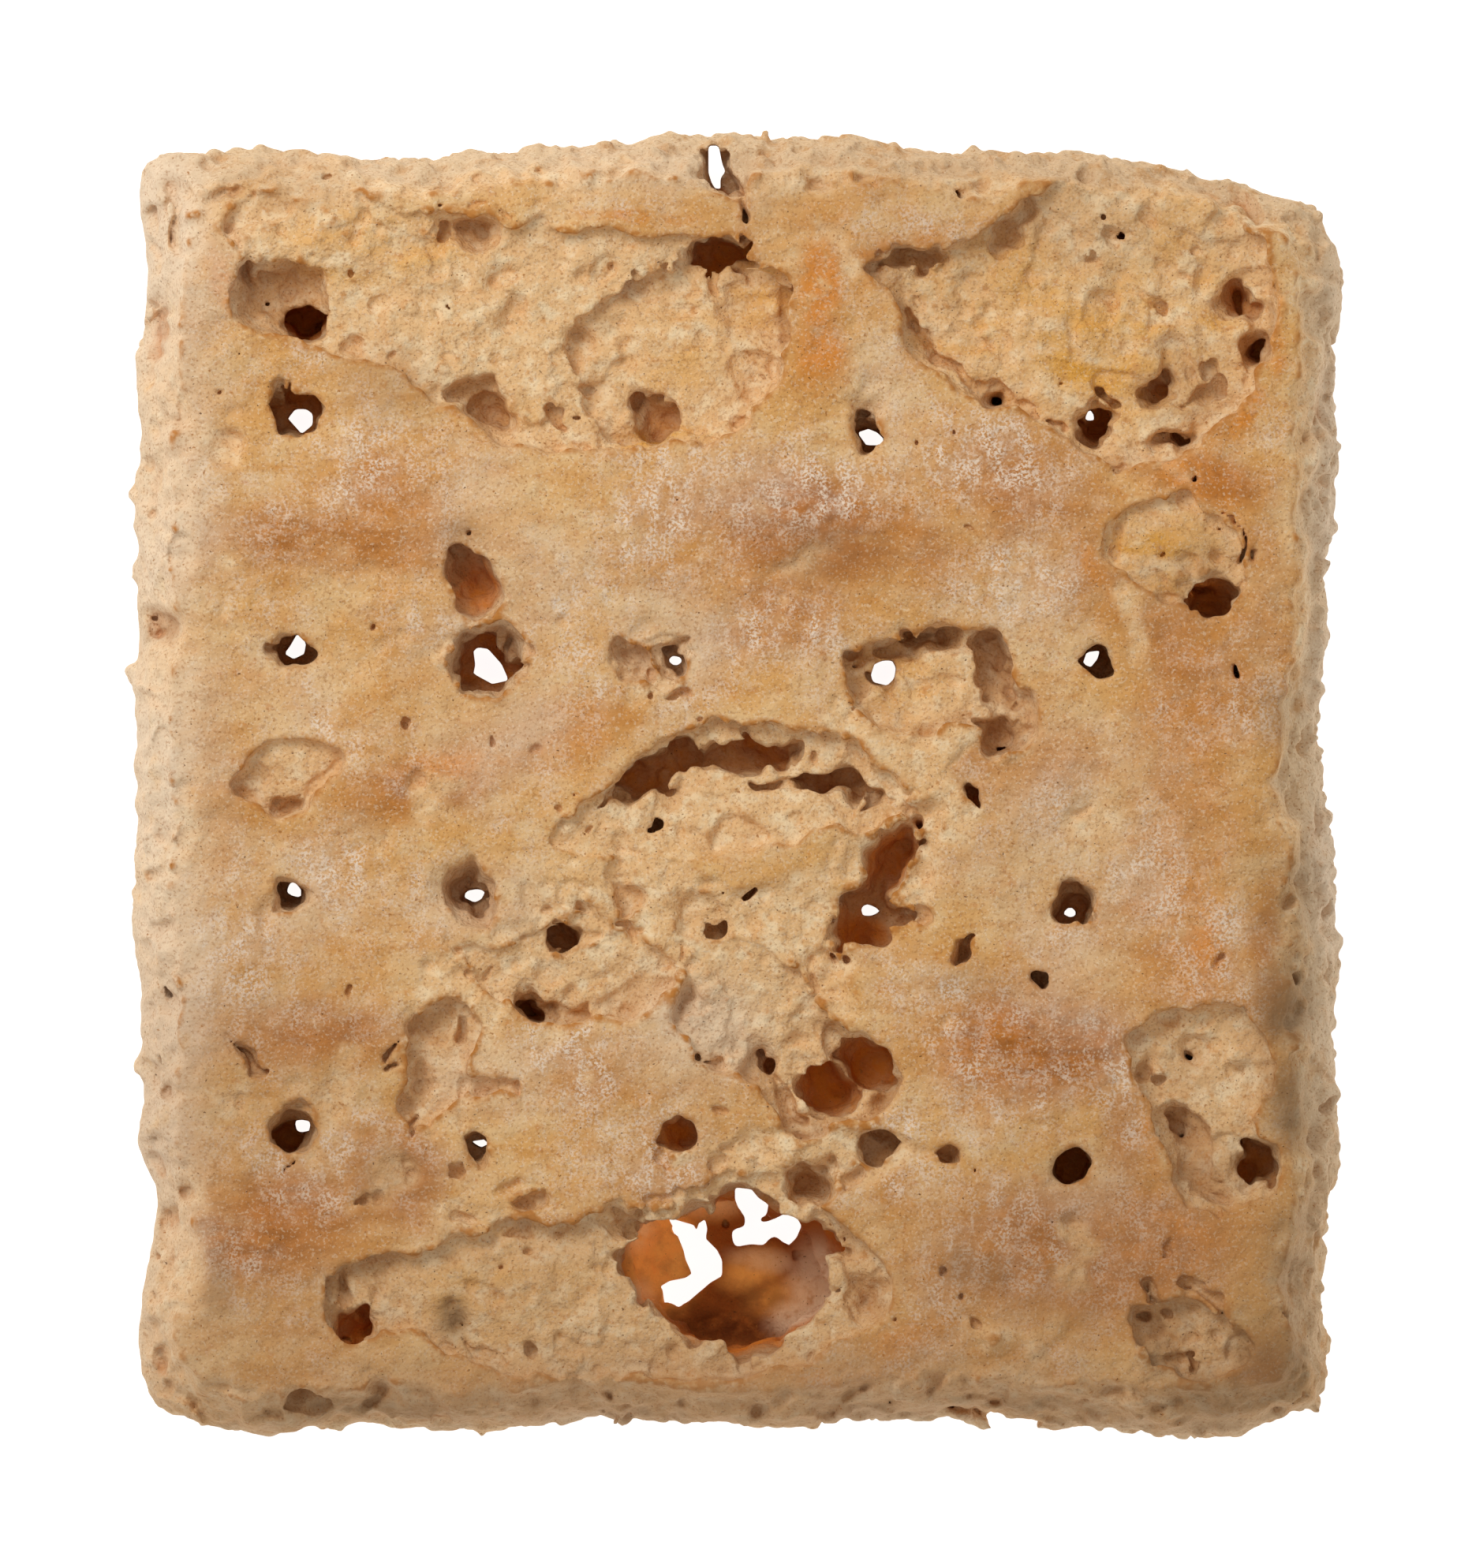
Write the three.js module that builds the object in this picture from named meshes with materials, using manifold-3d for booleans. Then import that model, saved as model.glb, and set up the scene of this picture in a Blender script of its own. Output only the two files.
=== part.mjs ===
// A square of hardtack: flour and water rolled thick, pricked all over with pin holes and baked until it is hard.
// It lies on a table. +X is to the right, +Y away from the eater and +Z up; every size is in millimetres.
//
// The dough is one slab. Everything else is taken out of it: the pin holes, the places where a blister's
// thin crust broke away, the bubbles in the crumb, and one large blister burst through to the underside.
import * as THREE from "three";
import { mergeVertices } from "three/addons/utils/BufferGeometryUtils.js";
import Module from "manifold-3d";

const wasm = await Module();
wasm.setup();

// ---------------------------------------------------------------- driving dimensions

const WIDTH = 73;
const LENGTH = 78.8;
const CRUST_LEVEL = 11.2; // height of the top crust along the lines of pin holes
const PUFF = 0.7; // how much higher the crust stands between two rows of pins

const CORNER_RADIUS = 1.9; // seen from above
const SHOULDER = 3.2; // width of the rounded rim, seen from above
const SHOULDER_DROP = 2.6; // how far the rim falls across that width
const FOOT_INSET = 1.3; // the underside is this much smaller all round than the widest line
const FLANK_ROUGHNESS = 0.2;
const TRIMMED_OFF = 0.5; // what the flat baking sheet takes off the underside

const GRID = { across: 24, along: 26, up: 3 }; // divisions of the slab
const RIM_CROWDING = 0.4; // how much closer the divisions lie near the rim

const PIN = { columns: 5, rows: 4, pitchX: 11.95, pitchY: 14.7, firstX: -26.8, firstY: 22.3 };
const PIN_SIDES = 8;
const MOUTH_FLARE = 1.06; // a pin hole opens out this much at the crust

const TEAR_STEP = 1.7; // length of one step along a torn edge of crust
const TEAR_ROUGHNESS = 0.25;
const SKY = 16; // cutters end at this height, clear above the crust

const MERGE_DISTANCE = 1e-4;

// ---------------------------------------------------------------- the dough's own unevenness

// A repeatable unevenness between -1 and 1: a few crossing waves of unrelated lengths.
function unevenness(x, y, phase = 0) {
  const long = Math.sin(0.61 * x + 0.93 * y + phase);
  const middle = Math.sin(1.37 * x - 0.78 * y + 2.1 * phase);
  const short = Math.sin(2.23 * x + 1.91 * y - 1.3 * phase);
  return 0.45 * long + 0.33 * middle + 0.22 * short;
}

// How far the rim stands inside the full width or length, at some stations along each side.
// The far right corner of the dough was pulled in, and the near left one lost a chip.
const RIM_INSETS = {
  left: [[-39, 0.7], [-35, 0.4], [-30, 1.0], [-27, 1.5], [-24, 0.3], [-21, 0.7], [-7, 0], [13, 0.3], [27, 0.4], [33, 0.9], [37, 0.3]],
  right: [[-39, 1.5], [-35, 0.7], [-30, 1.0], [-23, 0.4], [-4, 0.4], [1.6, 1.3], [8, 0.9], [13, 0.7], [22, 0.1], [36, 0], [39, 0.9]],
  near: [[-36, 2.2], [-33, 1.1], [-30, 0.3], [-23, 0.7], [-18, 0.3], [-7, 1.0], [2, 0.9], [10, 1.4], [16, 0.8], [22, 0.9], [27, 0.2],
    [32, 0.5], [36, 1.4]],
  far: [[-36, 1.4], [-32, 0.9], [-26, 0.9], [-21, 1.4], [-15, 0.7], [-2, 0.1], [7, 0.1], [15, 1.1], [21, 0.7], [25, 1.5], [30, 2.9],
    [33, 3.4], [36, 4.4]],
};

// The inset at one place along a side, eased from station to station.
function insetAt(stations, place) {
  const next = stations.findIndex(([along]) => along > place);
  if (next === 0) return stations[0][1];
  if (next < 0) return stations.at(-1)[1];
  const [[from, insetFrom], [to, insetTo]] = [stations[next - 1], stations[next]];
  const eased = THREE.MathUtils.smoothstep(place, from, to);
  return THREE.MathUtils.lerp(insetFrom, insetTo, eased);
}

// The dough rises in soft ridges between the rows of pins, and a little between the columns.
function crustHeight(x, y) {
  const betweenRows = 0.5 - 0.5 * Math.cos((2 * Math.PI * (y - PIN.firstY)) / PIN.pitchY);
  const betweenColumns = 0.5 - 0.5 * Math.cos((2 * Math.PI * (x - PIN.firstX)) / PIN.pitchX);
  return CRUST_LEVEL + PUFF * (0.7 * betweenRows + 0.3 * betweenColumns) + 0.15 * unevenness(x / 3, y / 3);
}

// ---------------------------------------------------------------- solids from three.js geometries

// A closed geometry as a solid that can be cut. Poles and seams are merged, and triangles lost by that dropped.
function solidFrom(geometry) {
  const bare = new THREE.BufferGeometry();
  bare.setAttribute("position", geometry.getAttribute("position"));
  if (geometry.index) bare.setIndex(geometry.index);
  const merged = mergeVertices(bare, MERGE_DISTANCE);
  const corners = [];
  for (let i = 0; i < merged.index.count; i += 3) {
    const [a, b, c] = [0, 1, 2].map((k) => merged.index.getX(i + k));
    if (a !== b && b !== c && c !== a) corners.push(a, b, c);
  }
  const vertProperties = new Float32Array(merged.getAttribute("position").array);
  return new wasm.Manifold(new wasm.Mesh({ numProp: 3, vertProperties, triVerts: new Uint32Array(corners) }));
}

function geometryFrom(solid) {
  const mesh = solid.getMesh();
  const geometry = new THREE.BufferGeometry();
  geometry.setAttribute("position", new THREE.BufferAttribute(mesh.vertProperties, mesh.numProp));
  geometry.setIndex(new THREE.BufferAttribute(mesh.triVerts, 1));
  geometry.computeVertexNormals();
  return geometry;
}

// Moves every vertex of a geometry to where place(vertex) puts it.
function reshape(geometry, place) {
  const position = geometry.getAttribute("position");
  const vertex = new THREE.Vector3();
  for (let i = 0; i < position.count; i += 1) {
    vertex.fromBufferAttribute(position, i);
    place(vertex);
    position.setXYZ(i, vertex.x, vertex.y, vertex.z);
  }
  return geometry;
}

// ---------------------------------------------------------------- the slab of dough

// Draws the square corner of a rectangle in to a quarter circle, and what lies behind it with it.
function roundedCorner(x, y) {
  const [coreX, coreY] = [WIDTH / 2 - CORNER_RADIUS, LENGTH / 2 - CORNER_RADIUS];
  const [outX, outY] = [Math.abs(x) - coreX, Math.abs(y) - coreY];
  if (outX <= 0 || outY <= 0) return [x, y];
  const drawnIn = Math.max(outX, outY) / Math.hypot(outX, outY);
  return [Math.sign(x) * (coreX + outX * drawnIn), Math.sign(y) * (coreY + outY * drawnIn)];
}

// A plan position for shares u and v across and along the slab, with the uneven rim taken in.
function planPlace(u, v) {
  const [x, y] = roundedCorner((u - 0.5) * WIDTH, (v - 0.5) * LENGTH);
  const left = -WIDTH / 2 + insetAt(RIM_INSETS.left, y);
  const right = WIDTH / 2 - insetAt(RIM_INSETS.right, y);
  const near = -LENGTH / 2 + insetAt(RIM_INSETS.near, x);
  const far = LENGTH / 2 - insetAt(RIM_INSETS.far, x);
  return [THREE.MathUtils.lerp(left, right, x / WIDTH + 0.5), THREE.MathUtils.lerp(near, far, y / LENGTH + 0.5)];
}

function crowdToRim(share) {
  return share - (RIM_CROWDING * Math.sin(2 * Math.PI * share)) / (2 * Math.PI);
}

// Share up the flank to how far the flank stands inside the widest line: a narrow foot, a full belly
// and a top edge that leans in.
const FLANK_PROFILE = [[0, FOOT_INSET], [0.33, 0], [0.66, 0], [1, 0.9]];

function slab() {
  const box = new THREE.BoxGeometry(1, 1, 1, GRID.across, GRID.along, GRID.up);
  return solidFrom(
    reshape(box, (p) => {
      const u = crowdToRim(p.x + 0.5);
      const v = crowdToRim(p.y + 0.5);
      const up = p.z + 0.5;
      const [x, y] = planPlace(u, v);
      const toRim = Math.min(Math.min(u, 1 - u) * WIDTH, Math.min(v, 1 - v) * LENGTH);
      // The flank's inset fades out towards the middle, so that the rows of divisions stay in order.
      const held = 1 - THREE.MathUtils.smoothstep(toRim, 0, 2 * SHOULDER);
      const rough = FLANK_ROUGHNESS * unevenness(x + 2 * up, y - 3 * up, 4);
      const inset = held * (insetAt(FLANK_PROFILE, up) + rough);
      // The top falls away over the shoulder on a quarter ellipse.
      const fall = Math.max(0, 1 - toRim / SHOULDER);
      const drop = SHOULDER_DROP * (1 - Math.sqrt(1 - fall * fall));
      const height = THREE.MathUtils.lerp(-TRIMMED_OFF, crustHeight(x, y) - drop, up);
      p.set(x * (1 - (2 * inset) / WIDTH), y * (1 - (2 * inset) / LENGTH), height);
    }),
  );
}

// The flat baking sheet that the underside was pressed against.
function bakingSheet() {
  const sheet = new THREE.BoxGeometry(2 * WIDTH, 2 * LENGTH, 10);
  return solidFrom(sheet.translate(0, 0, -5));
}

// ---------------------------------------------------------------- pin holes

// Each pin hole: column and row from the far left, how far it wandered from its mark, the radius of its mouth
// and of its waist (0 for one that closed up before the underside), and how far its waist lies from its mouth.
const PIN_HOLES = [
  { at: [0, 0], off: [0.05, 0.1], mouth: 1.3, waist: 0.72, lean: [0.55, -0.4] },
  { at: [1, 0], off: [-0.15, 0.45], mouth: 0.9, waist: 0, lean: [-0.2, -0.4] },
  { at: [2, 0], off: [-1.5, -0.3], mouth: 0.9, waist: 0, lean: [0, -0.3] },
  { at: [3, 0], off: [-1.05, -1], mouth: 0.85, waist: 0.6, lean: [0, -0.4] },
  { at: [4, 0], off: [0.5, -0.5], mouth: 1.15, waist: 0.28, lean: [-0.1, 0.4] },
  { at: [0, 1], off: [-0.05, 0.5], mouth: 1.15, waist: 0.6, lean: [0.25, 0.2] },
  { at: [1, 1], off: [-0.1, 0.1], mouth: 1.5, waist: 1.05, lean: [0, -0.6] },
  { at: [2, 1], off: [-0.75, -0.1], mouth: 0.7, waist: 0.3, lean: [0, 0] },
  { at: [3, 1], off: [-0.15, -0.8], mouth: 0.9, waist: 0.68, lean: [0, 0] },
  { at: [4, 1], off: [0.9, -0.4], mouth: 1.05, waist: 0.5, lean: [-0.4, 0.4] },
  { at: [0, 2], off: [-0.3, 0.6], mouth: 1, waist: 0.38, lean: [0.4, 0.1] },
  { at: [1, 2], off: [-1.15, 0.6], mouth: 0.9, waist: 0.45, lean: [0.2, -0.2] },
  { at: [3, 2], off: [-1.05, -0.6], mouth: 1.1, waist: 0.38, lean: [0, 0] },
  { at: [4, 2], off: [-0.4, -0.4], mouth: 1.2, waist: 0.34, lean: [-0.5, -0.3] },
  { at: [0, 3], off: [0.1, 0.5], mouth: 1.3, waist: 0.38, lean: [0.6, 0.6] },
  { at: [1, 3], off: [-0.55, -0.3], mouth: 0.8, waist: 0.3, lean: [0.1, 0.4] },
  { at: [2, 3], off: [-0.7, 0.9], mouth: 1.1, waist: 0, lean: [0.3, -0.2] },
  { at: [3, 3], off: [-0.55, 0.1], mouth: 1, waist: 0, lean: [0.3, 0] },
  { at: [4, 3], off: [-0.7, -0.9], mouth: 0.9, waist: 0, lean: [-0.2, 0.3] },
];
const WAIST_HEIGHT = 0.55; // share of the crust's height at which a pin hole has narrowed to its waist
const SHAFT_HEIGHT = 0.78; // share of the crust's height down to which it is as wide as its mouth
const NARROWEST = 0.25; // least radius of a pin hole's lower half
const BLIND_END = 5; // height at which a closed-up pin hole ends

function pinHole({ at: [column, row], off, mouth, waist, lean }) {
  const x = PIN.firstX + column * PIN.pitchX + off[0];
  const y = PIN.firstY - row * PIN.pitchY + off[1];
  const top = crustHeight(x, y);
  const foot = waist > 0 ? -1 : BLIND_END;
  const narrow = Math.max(waist, NARROWEST);
  const profile = [
    [0, foot],
    [narrow, foot],
    [narrow, top * WAIST_HEIGHT],
    [mouth, top * SHAFT_HEIGHT],
    [mouth * MOUTH_FLARE, SKY],
    [0, SKY],
  ];
  const lathe = new THREE.LatheGeometry(
    profile.map(([radius, height]) => new THREE.Vector2(radius, height)),
    PIN_SIDES,
  );
  lathe.rotateX(Math.PI / 2);
  return solidFrom(
    reshape(lathe, (p) => {
      const down = THREE.MathUtils.clamp((top - p.z) / (top * (1 - WAIST_HEIGHT)), 0, 1);
      const swell = 1 + 0.14 * unevenness(3 * p.x + x, 3 * p.y + y, p.z);
      p.x = x + p.x * swell + lean[0] * down;
      p.y = y + p.y * swell + lean[1] * down;
    }),
  );
}

// ---------------------------------------------------------------- torn crust

// A closed, smooth loop through a few points, then ragged like torn crust.
function tornShape(points) {
  const corners = points.map(([x, y]) => new THREE.Vector3(x, y, 0));
  const loop = new THREE.CatmullRomCurve3(corners, true, "centripetal");
  const steps = Math.max(8, Math.round(loop.getLength() / TEAR_STEP));
  const places = loop.getSpacedPoints(steps).slice(0, -1);
  const torn = places.map(({ x, y }) => {
    const sideways = TEAR_ROUGHNESS * unevenness(2.3 * x, 2.9 * y, 1);
    const lengthways = TEAR_ROUGHNESS * unevenness(2.7 * x, 2.1 * y, 5);
    return new THREE.Vector2(x + sideways, y + lengthways);
  });
  return new THREE.Shape(torn);
}

// A torn patch is open upwards from a floor that may slope: [rise per mm in x, rise per mm in y] about its middle.
function tornPatch({ outline, floor, slope = [0, 0] }) {
  const shape = tornShape(outline);
  const middle = new THREE.Box2().setFromPoints(shape.getPoints()).getCenter(new THREE.Vector2());
  const block = new THREE.ExtrudeGeometry(shape, { depth: 1, bevelEnabled: false, curveSegments: 1 });
  return solidFrom(
    reshape(block, (p) => {
      const rise = slope[0] * (p.x - middle.x) + slope[1] * (p.y - middle.y);
      p.z = p.z < 0.5 ? floor + rise : SKY;
    }),
  );
}

const TORN_PATCHES = {
  farLeft: {
    outline: [[-31, 34.8], [-23.4, 35.7], [-14, 33.6], [-5, 33.4], [-1.5, 32.4], [2.4, 31.6], [3, 28], [2, 23], [-2.5, 20.6],
      [-9.5, 20.4], [-14.5, 20.6], [-17.2, 23.2], [-21.5, 25.5], [-27.9, 27.8], [-30, 30.8]],
    floor: 10.7,
    slope: [-0.012, 0.01],
  },
  farLeftOval: {
    outline: [[-9.4, 26.5], [-7.7, 29.4], [-3, 31.5], [2.2, 31.2], [2.8, 28], [2, 23.6], [-1, 21.6], [-6, 21], [-8.6, 23.5]],
    floor: 9.5,
    slope: [0.01, -0.03],
  },
  farRight: {
    outline: [[7.4, 31.6], [12.3, 32.2], [17, 34.8], [26.6, 36.4], [30.4, 34], [32.3, 31], [31.6, 26], [29.8, 22.2], [27, 20],
      [22.5, 19.9], [18, 21.8], [11.2, 25.2], [9.8, 28.6]],
    floor: 10.1,
    slope: [-0.005, 0.02],
  },
  rightPatch: {
    outline: [[24.2, 17.3], [27.2, 17.7], [29.6, 15.6], [30.4, 11.6], [28.6, 10.6], [25, 11.7], [21.6, 14.3]],
    floor: 11.0,
  },
  leftPatch: {
    outline: [[-28, 2.4], [-25.2, 2.9], [-23.5, 1.5], [-25.2, -0.9], [-26.6, -2.1], [-31, -0.4], [-30, 1.1]],
    floor: 10.7,
    slope: [0, 0.15],
  },
  middleRight: {
    outline: [[6.3, 8.1], [8, 9.4], [14.8, 9.4], [16.4, 7], [17.6, 3.4], [16.4, 1.9], [14.6, 3.6], [9, 3.3], [7, 5]],
    floor: 10.0,
    slope: [0.03, 0],
  },
  middleSkin: {
    outline: [[-11, -3.3], [-6.3, 1.2], [-3.9, 2.9], [2.6, 3.7], [10.4, 0.6], [10.2, -1], [4, -3.2], [-4, -4.6]],
    floor: 10.7,
    slope: [0, -0.13],
  },
  nearMiddleUpper: {
    outline: [[-17, -10], [-11, -9.4], [-5.6, -10], [-4.6, -12.2], [-9, -13.9], [-13.7, -13.3]],
    floor: 10.9,
    slope: [0, 0.08],
  },
  nearMiddleLeft: {
    outline: [[-19.8, -20.8], [-19.6, -14.2], [-17.6, -12.8], [-15.7, -14.2], [-16.4, -17.6], [-18.6, -21]],
    floor: 10.6,
  },
  nearMiddleRight: {
    outline: [[-3.9, -11.8], [-1, -9.4], [2.4, -10], [5.2, -13.8], [9.8, -16], [9.6, -18.6], [6.6, -20.4], [3.2, -20.6],
      [1.2, -18.2], [-2.6, -16]],
    floor: 10.5,
    slope: [-0.06, 0.1],
  },
  nearLeft: {
    outline: [[-24.4, -29.6], [-18, -27.6], [-11.5, -26.6], [-6.8, -26.4], [-4, -24.6], [1.4, -23.8], [6, -26.6], [9.3, -30.6],
      [6.4, -32.8], [3, -34.6], [-8, -35.6], [-14, -35.1], [-17.6, -33.8], [-21, -32.9], [-24.2, -33.4]],
    floor: 10.6,
    slope: [0.01, 0.01],
  },
  nearRight: {
    outline: [[22.8, -15.5], [26, -14.1], [30.8, -13.8], [32.3, -17], [31.4, -20.3], [32, -23], [29.4, -25.6], [26.4, -23.8],
      [25.6, -19.4]],
    floor: 10.3,
    slope: [-0.02, 0.06],
  },
  nearRightCorner: {
    outline: [[24.3, -31.8], [28.9, -32.1], [30.9, -33.7], [29.6, -35.3], [25.4, -35]],
    floor: 10.5,
  },
};

// ---------------------------------------------------------------- bubbles in the crumb

// A bubble is an egg with its middle at the crust: place, half sizes across and along, turn in degrees and depth.
const BUBBLES = [
  { at: [-27.6, 29.5], half: [2.9, 2.2], turn: -24, depth: 3.0 },
  { at: [-26.0, 28.3], half: [1.4, 1.1], turn: 20, depth: 6.5 },
  { at: [-15.2, 33.2], half: [1.4, 0.9], turn: 0, depth: 2.2 },
  { at: [-0.6, 31.9], half: [2.2, 0.9], turn: 14, depth: 4.0 },
  { at: [-4.4, 22.2], half: [1.9, 1.5], turn: -20, depth: 3.6 },
  { at: [-15.0, 22.7], half: [1.4, 1.7], turn: 20, depth: 2.4 },
  { at: [10.9, 31.9], half: [2.6, 0.7], turn: 4, depth: 3.2 },
  { at: [30.1, 28.9], half: [0.8, 0.8], turn: 0, depth: 5.5 },
  { at: [31.3, 26.3], half: [0.7, 1.3], turn: -12, depth: 4.5 },
  { at: [15.4, 23.5], half: [1.3, 0.8], turn: -45, depth: 5.0 },
  { at: [25.6, 23.6], half: [0.9, 0.8], turn: 0, depth: 4.5 },
  { at: [26.2, 20.7], half: [2.0, 0.7], turn: -6, depth: 3.6 },
  { at: [28.5, 11.1], half: [1.5, 0.9], turn: 8, depth: 5.5 },
  { at: [-15.8, 12.3], half: [1.6, 2.1], turn: 18, depth: 3.6 },
  { at: [-15.0, 7.8], half: [2.3, 2.3], turn: 0, depth: 3.8 },
  { at: [-6.1, 7.5], half: [1.3, 1.4], turn: 0, depth: 2.0 },
  { at: [10.8, 9.1], half: [2.8, 0.8], turn: 10, depth: 4.0 },
  { at: [15.6, 7.0], half: [1.2, 2.7], turn: 6, depth: 3.6 },
  { at: [16.1, 2.9], half: [1.7, 1.3], turn: 0, depth: 3.6 },
  { at: [-26.9, -1.5], half: [1.4, 0.7], turn: 14, depth: 2.8 },
  { at: [-5.4, 0.7], half: [2.6, 0.9], turn: 27, depth: 5.0 },
  { at: [1.1, 2.0], half: [3.4, 1.0], turn: 8, depth: 5.0 },
  { at: [6.9, -0.1], half: [3.4, 0.6], turn: -3, depth: 4.0 },
  { at: [9.5, -4.3], half: [1.2, 2.4], turn: -22, depth: 4.2 },
  { at: [7.5, -8.1], half: [1.9, 2.3], turn: 20, depth: 5.0 },
  { at: [-15.9, -6.4], half: [1.7, 2.0], turn: 12, depth: 1.8 },
  { at: [-10.8, -9.1], half: [1.0, 0.55], turn: 0, depth: 3.8 },
  { at: [-12.2, -13.3], half: [1.4, 0.7], turn: -18, depth: 4.0 },
  { at: [5.9, -18.2], half: [1.8, 1.4], turn: 0, depth: 5.5 },
  { at: [8.2, -17.0], half: [1.3, 1.4], turn: 0, depth: 6.0 },
  { at: [4.9, -24.1], half: [1.6, 1.2], turn: 0, depth: 3.2 },
  { at: [31.1, -22.7], half: [1.2, 1.7], turn: 10, depth: 5.5 },
  { at: [27.1, -20.6], half: [1.4, 1.3], turn: 0, depth: 2.6 },
  { at: [-23.0, -32.8], half: [1.6, 1.4], turn: 0, depth: 4.0 },
  { at: [7.6, -30.8], half: [1.6, 1.6], turn: 0, depth: 1.6 },
  { at: [-6.4, -26.3], half: [1.2, 1.0], turn: 20, depth: 2.8 },
  { at: [29.5, 35.3], half: [2.7, 0.9], turn: -24, depth: 3.6 },
  { at: [-19.1, 36.8], half: [1.6, 0.8], turn: 6, depth: 2.4 },
];
const FINE_BUBBLE = 1.3; // half size from which a bubble is drawn with more faces

function bubble({ at: [x, y], half: [across, along], turn, depth }) {
  const detail = Math.max(across, along) < FINE_BUBBLE ? 0 : 1;
  const egg = new THREE.IcosahedronGeometry(1, detail);
  reshape(egg, (p) => p.multiplyScalar(1 + 0.12 * unevenness(2 * p.x + x, 2 * p.y + y, 3 * p.z)));
  egg.scale(across, along, depth);
  egg.rotateZ(THREE.MathUtils.degToRad(turn));
  egg.translate(x, y, crustHeight(x, y));
  return solidFrom(egg);
}

// ---------------------------------------------------------------- the blister burst right through

// Its mouth is torn in the crust, its belly reaches a little under it, and two rags of hole go through the
// thin crust that is left below.
const BURST = {
  mouth: [[-6.4, -27.8], [-5.3, -26], [-3.1, -25.2], [-0.1, -24.3], [1.4, -25], [2.9, -26], [4.3, -26.5], [5.2, -28.8], [5.5, -31.3],
    [3.6, -33.1], [2, -33.6], [-2.4, -33.2], [-4.1, -31.7], [-5.9, -30.7]],
  belly: { at: [-0.4, -29.2, 4.9], half: [7, 5.1, 3.9] },
  underCrust: 0.9, // thickness of crust left under the blister
  throughHoles: [
    [[-4, -26.3], [-2.5, -26.7], [-1.9, -26.5], [-1.9, -27.4], [-0.9, -28.5], [-0.9, -29.7], [-3.1, -31.4], [-3.9, -31.4],
      [-4.4, -30.4], [-2.5, -29.7], [-3.2, -27.7]],
    [[0, -24.6], [1, -24.7], [1.8, -25.5], [1.3, -26.5], [2.9, -26], [3.9, -26.8], [3.2, -27.8], [2.4, -27.2], [1.7, -27.7],
      [0, -27.9], [0, -27], [0.7, -26.5], [0, -25.3]],
  ],
};

function throughHole(points) {
  const shape = new THREE.Shape(points.map(([x, y]) => new THREE.Vector2(x, y)));
  const block = new THREE.ExtrudeGeometry(shape, { depth: SKY + 1, bevelEnabled: false });
  return solidFrom(block.translate(0, 0, -1));
}

function burstBlister() {
  const { belly, mouth, throughHoles, underCrust } = BURST;
  const egg = new THREE.IcosahedronGeometry(1, 2);
  egg.scale(...belly.half);
  egg.translate(...belly.at);
  const throat = tornPatch({ outline: mouth, floor: underCrust });
  return [solidFrom(egg), throat, ...throughHoles.map(throughHole)];
}

// ---------------------------------------------------------------- chips out of the rim

// A chip is a lump missing from the flank: where its middle is and how far it reaches.
const RIM_CHIPS = [
  { at: [-34.9, -38.6, 5.5], half: [1.5, 1.6, 8] },
  { at: [37.0, 12.2, 4.5], half: [1.7, 1.6, 6] },
  { at: [37.0, 0.7, 8.2], half: [1.9, 1.3, 4] },
  { at: [-1.1, 37.3, 6], half: [0.6, 1.2, 9] },
  { at: [0.6, 38.6, 9.8], half: [1.5, 1.9, 2.6] },
  { at: [-37.4, 30.5, 6], half: [1.4, 2.4, 5] },
  { at: [-37.6, -27.2, 4], half: [2.0, 1.5, 5] },
  { at: [11.0, -39.9, 3.5], half: [3.0, 1.3, 4] },
  { at: [-13.5, -39.8, 8.6], half: [3.4, 1.3, 1.6] },
];

function rimChip({ at, half }) {
  const egg = new THREE.IcosahedronGeometry(1, 1);
  egg.scale(...half);
  egg.translate(...at);
  return solidFrom(egg);
}

// ---------------------------------------------------------------- the biscuit

const cutters = [
  bakingSheet(),
  ...PIN_HOLES.map(pinHole),
  ...Object.values(TORN_PATCHES).map(tornPatch),
  ...BUBBLES.map(bubble),
  ...burstBlister(),
  ...RIM_CHIPS.map(rimChip),
];
const biscuitSolid = cutters.reduce((dough, cutter) => dough.subtract(cutter), slab());

// The origin is on the table under the middle of the biscuit.
const biscuitGeometry = geometryFrom(biscuitSolid);
biscuitGeometry.computeBoundingBox();
const { min, max } = biscuitGeometry.boundingBox;
biscuitGeometry.translate(-(min.x + max.x) / 2, -(min.y + max.y) / 2, -min.z);

const bakedDough = new THREE.MeshStandardMaterial({ color: 0xcb9f70, roughness: 0.9, metalness: 0 });

const biscuit = new THREE.Mesh(biscuitGeometry, bakedDough);
biscuit.name = "biscuit";

const hardtack = new THREE.Group();
hardtack.add(biscuit);

export default hardtack;
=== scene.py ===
# %% [markdown]
# # A square of hardtack
#
# Hardtack is flour and water, rolled thick, pricked all over and baked twice until it is dry to the middle.
# The pricking holds the dough flat, yet blisters still rise between the pins, and on this one many have
# burst: their thin crust is gone and the pale crumb shows. The solid from the frame has the true outline,
# pin holes, torn patches and the large bubbles. What it lacks is the skin of a baked thing: soft swellings,
# ragged tears, bubbly crumb, flour and browning. This script gives it those.

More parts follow.
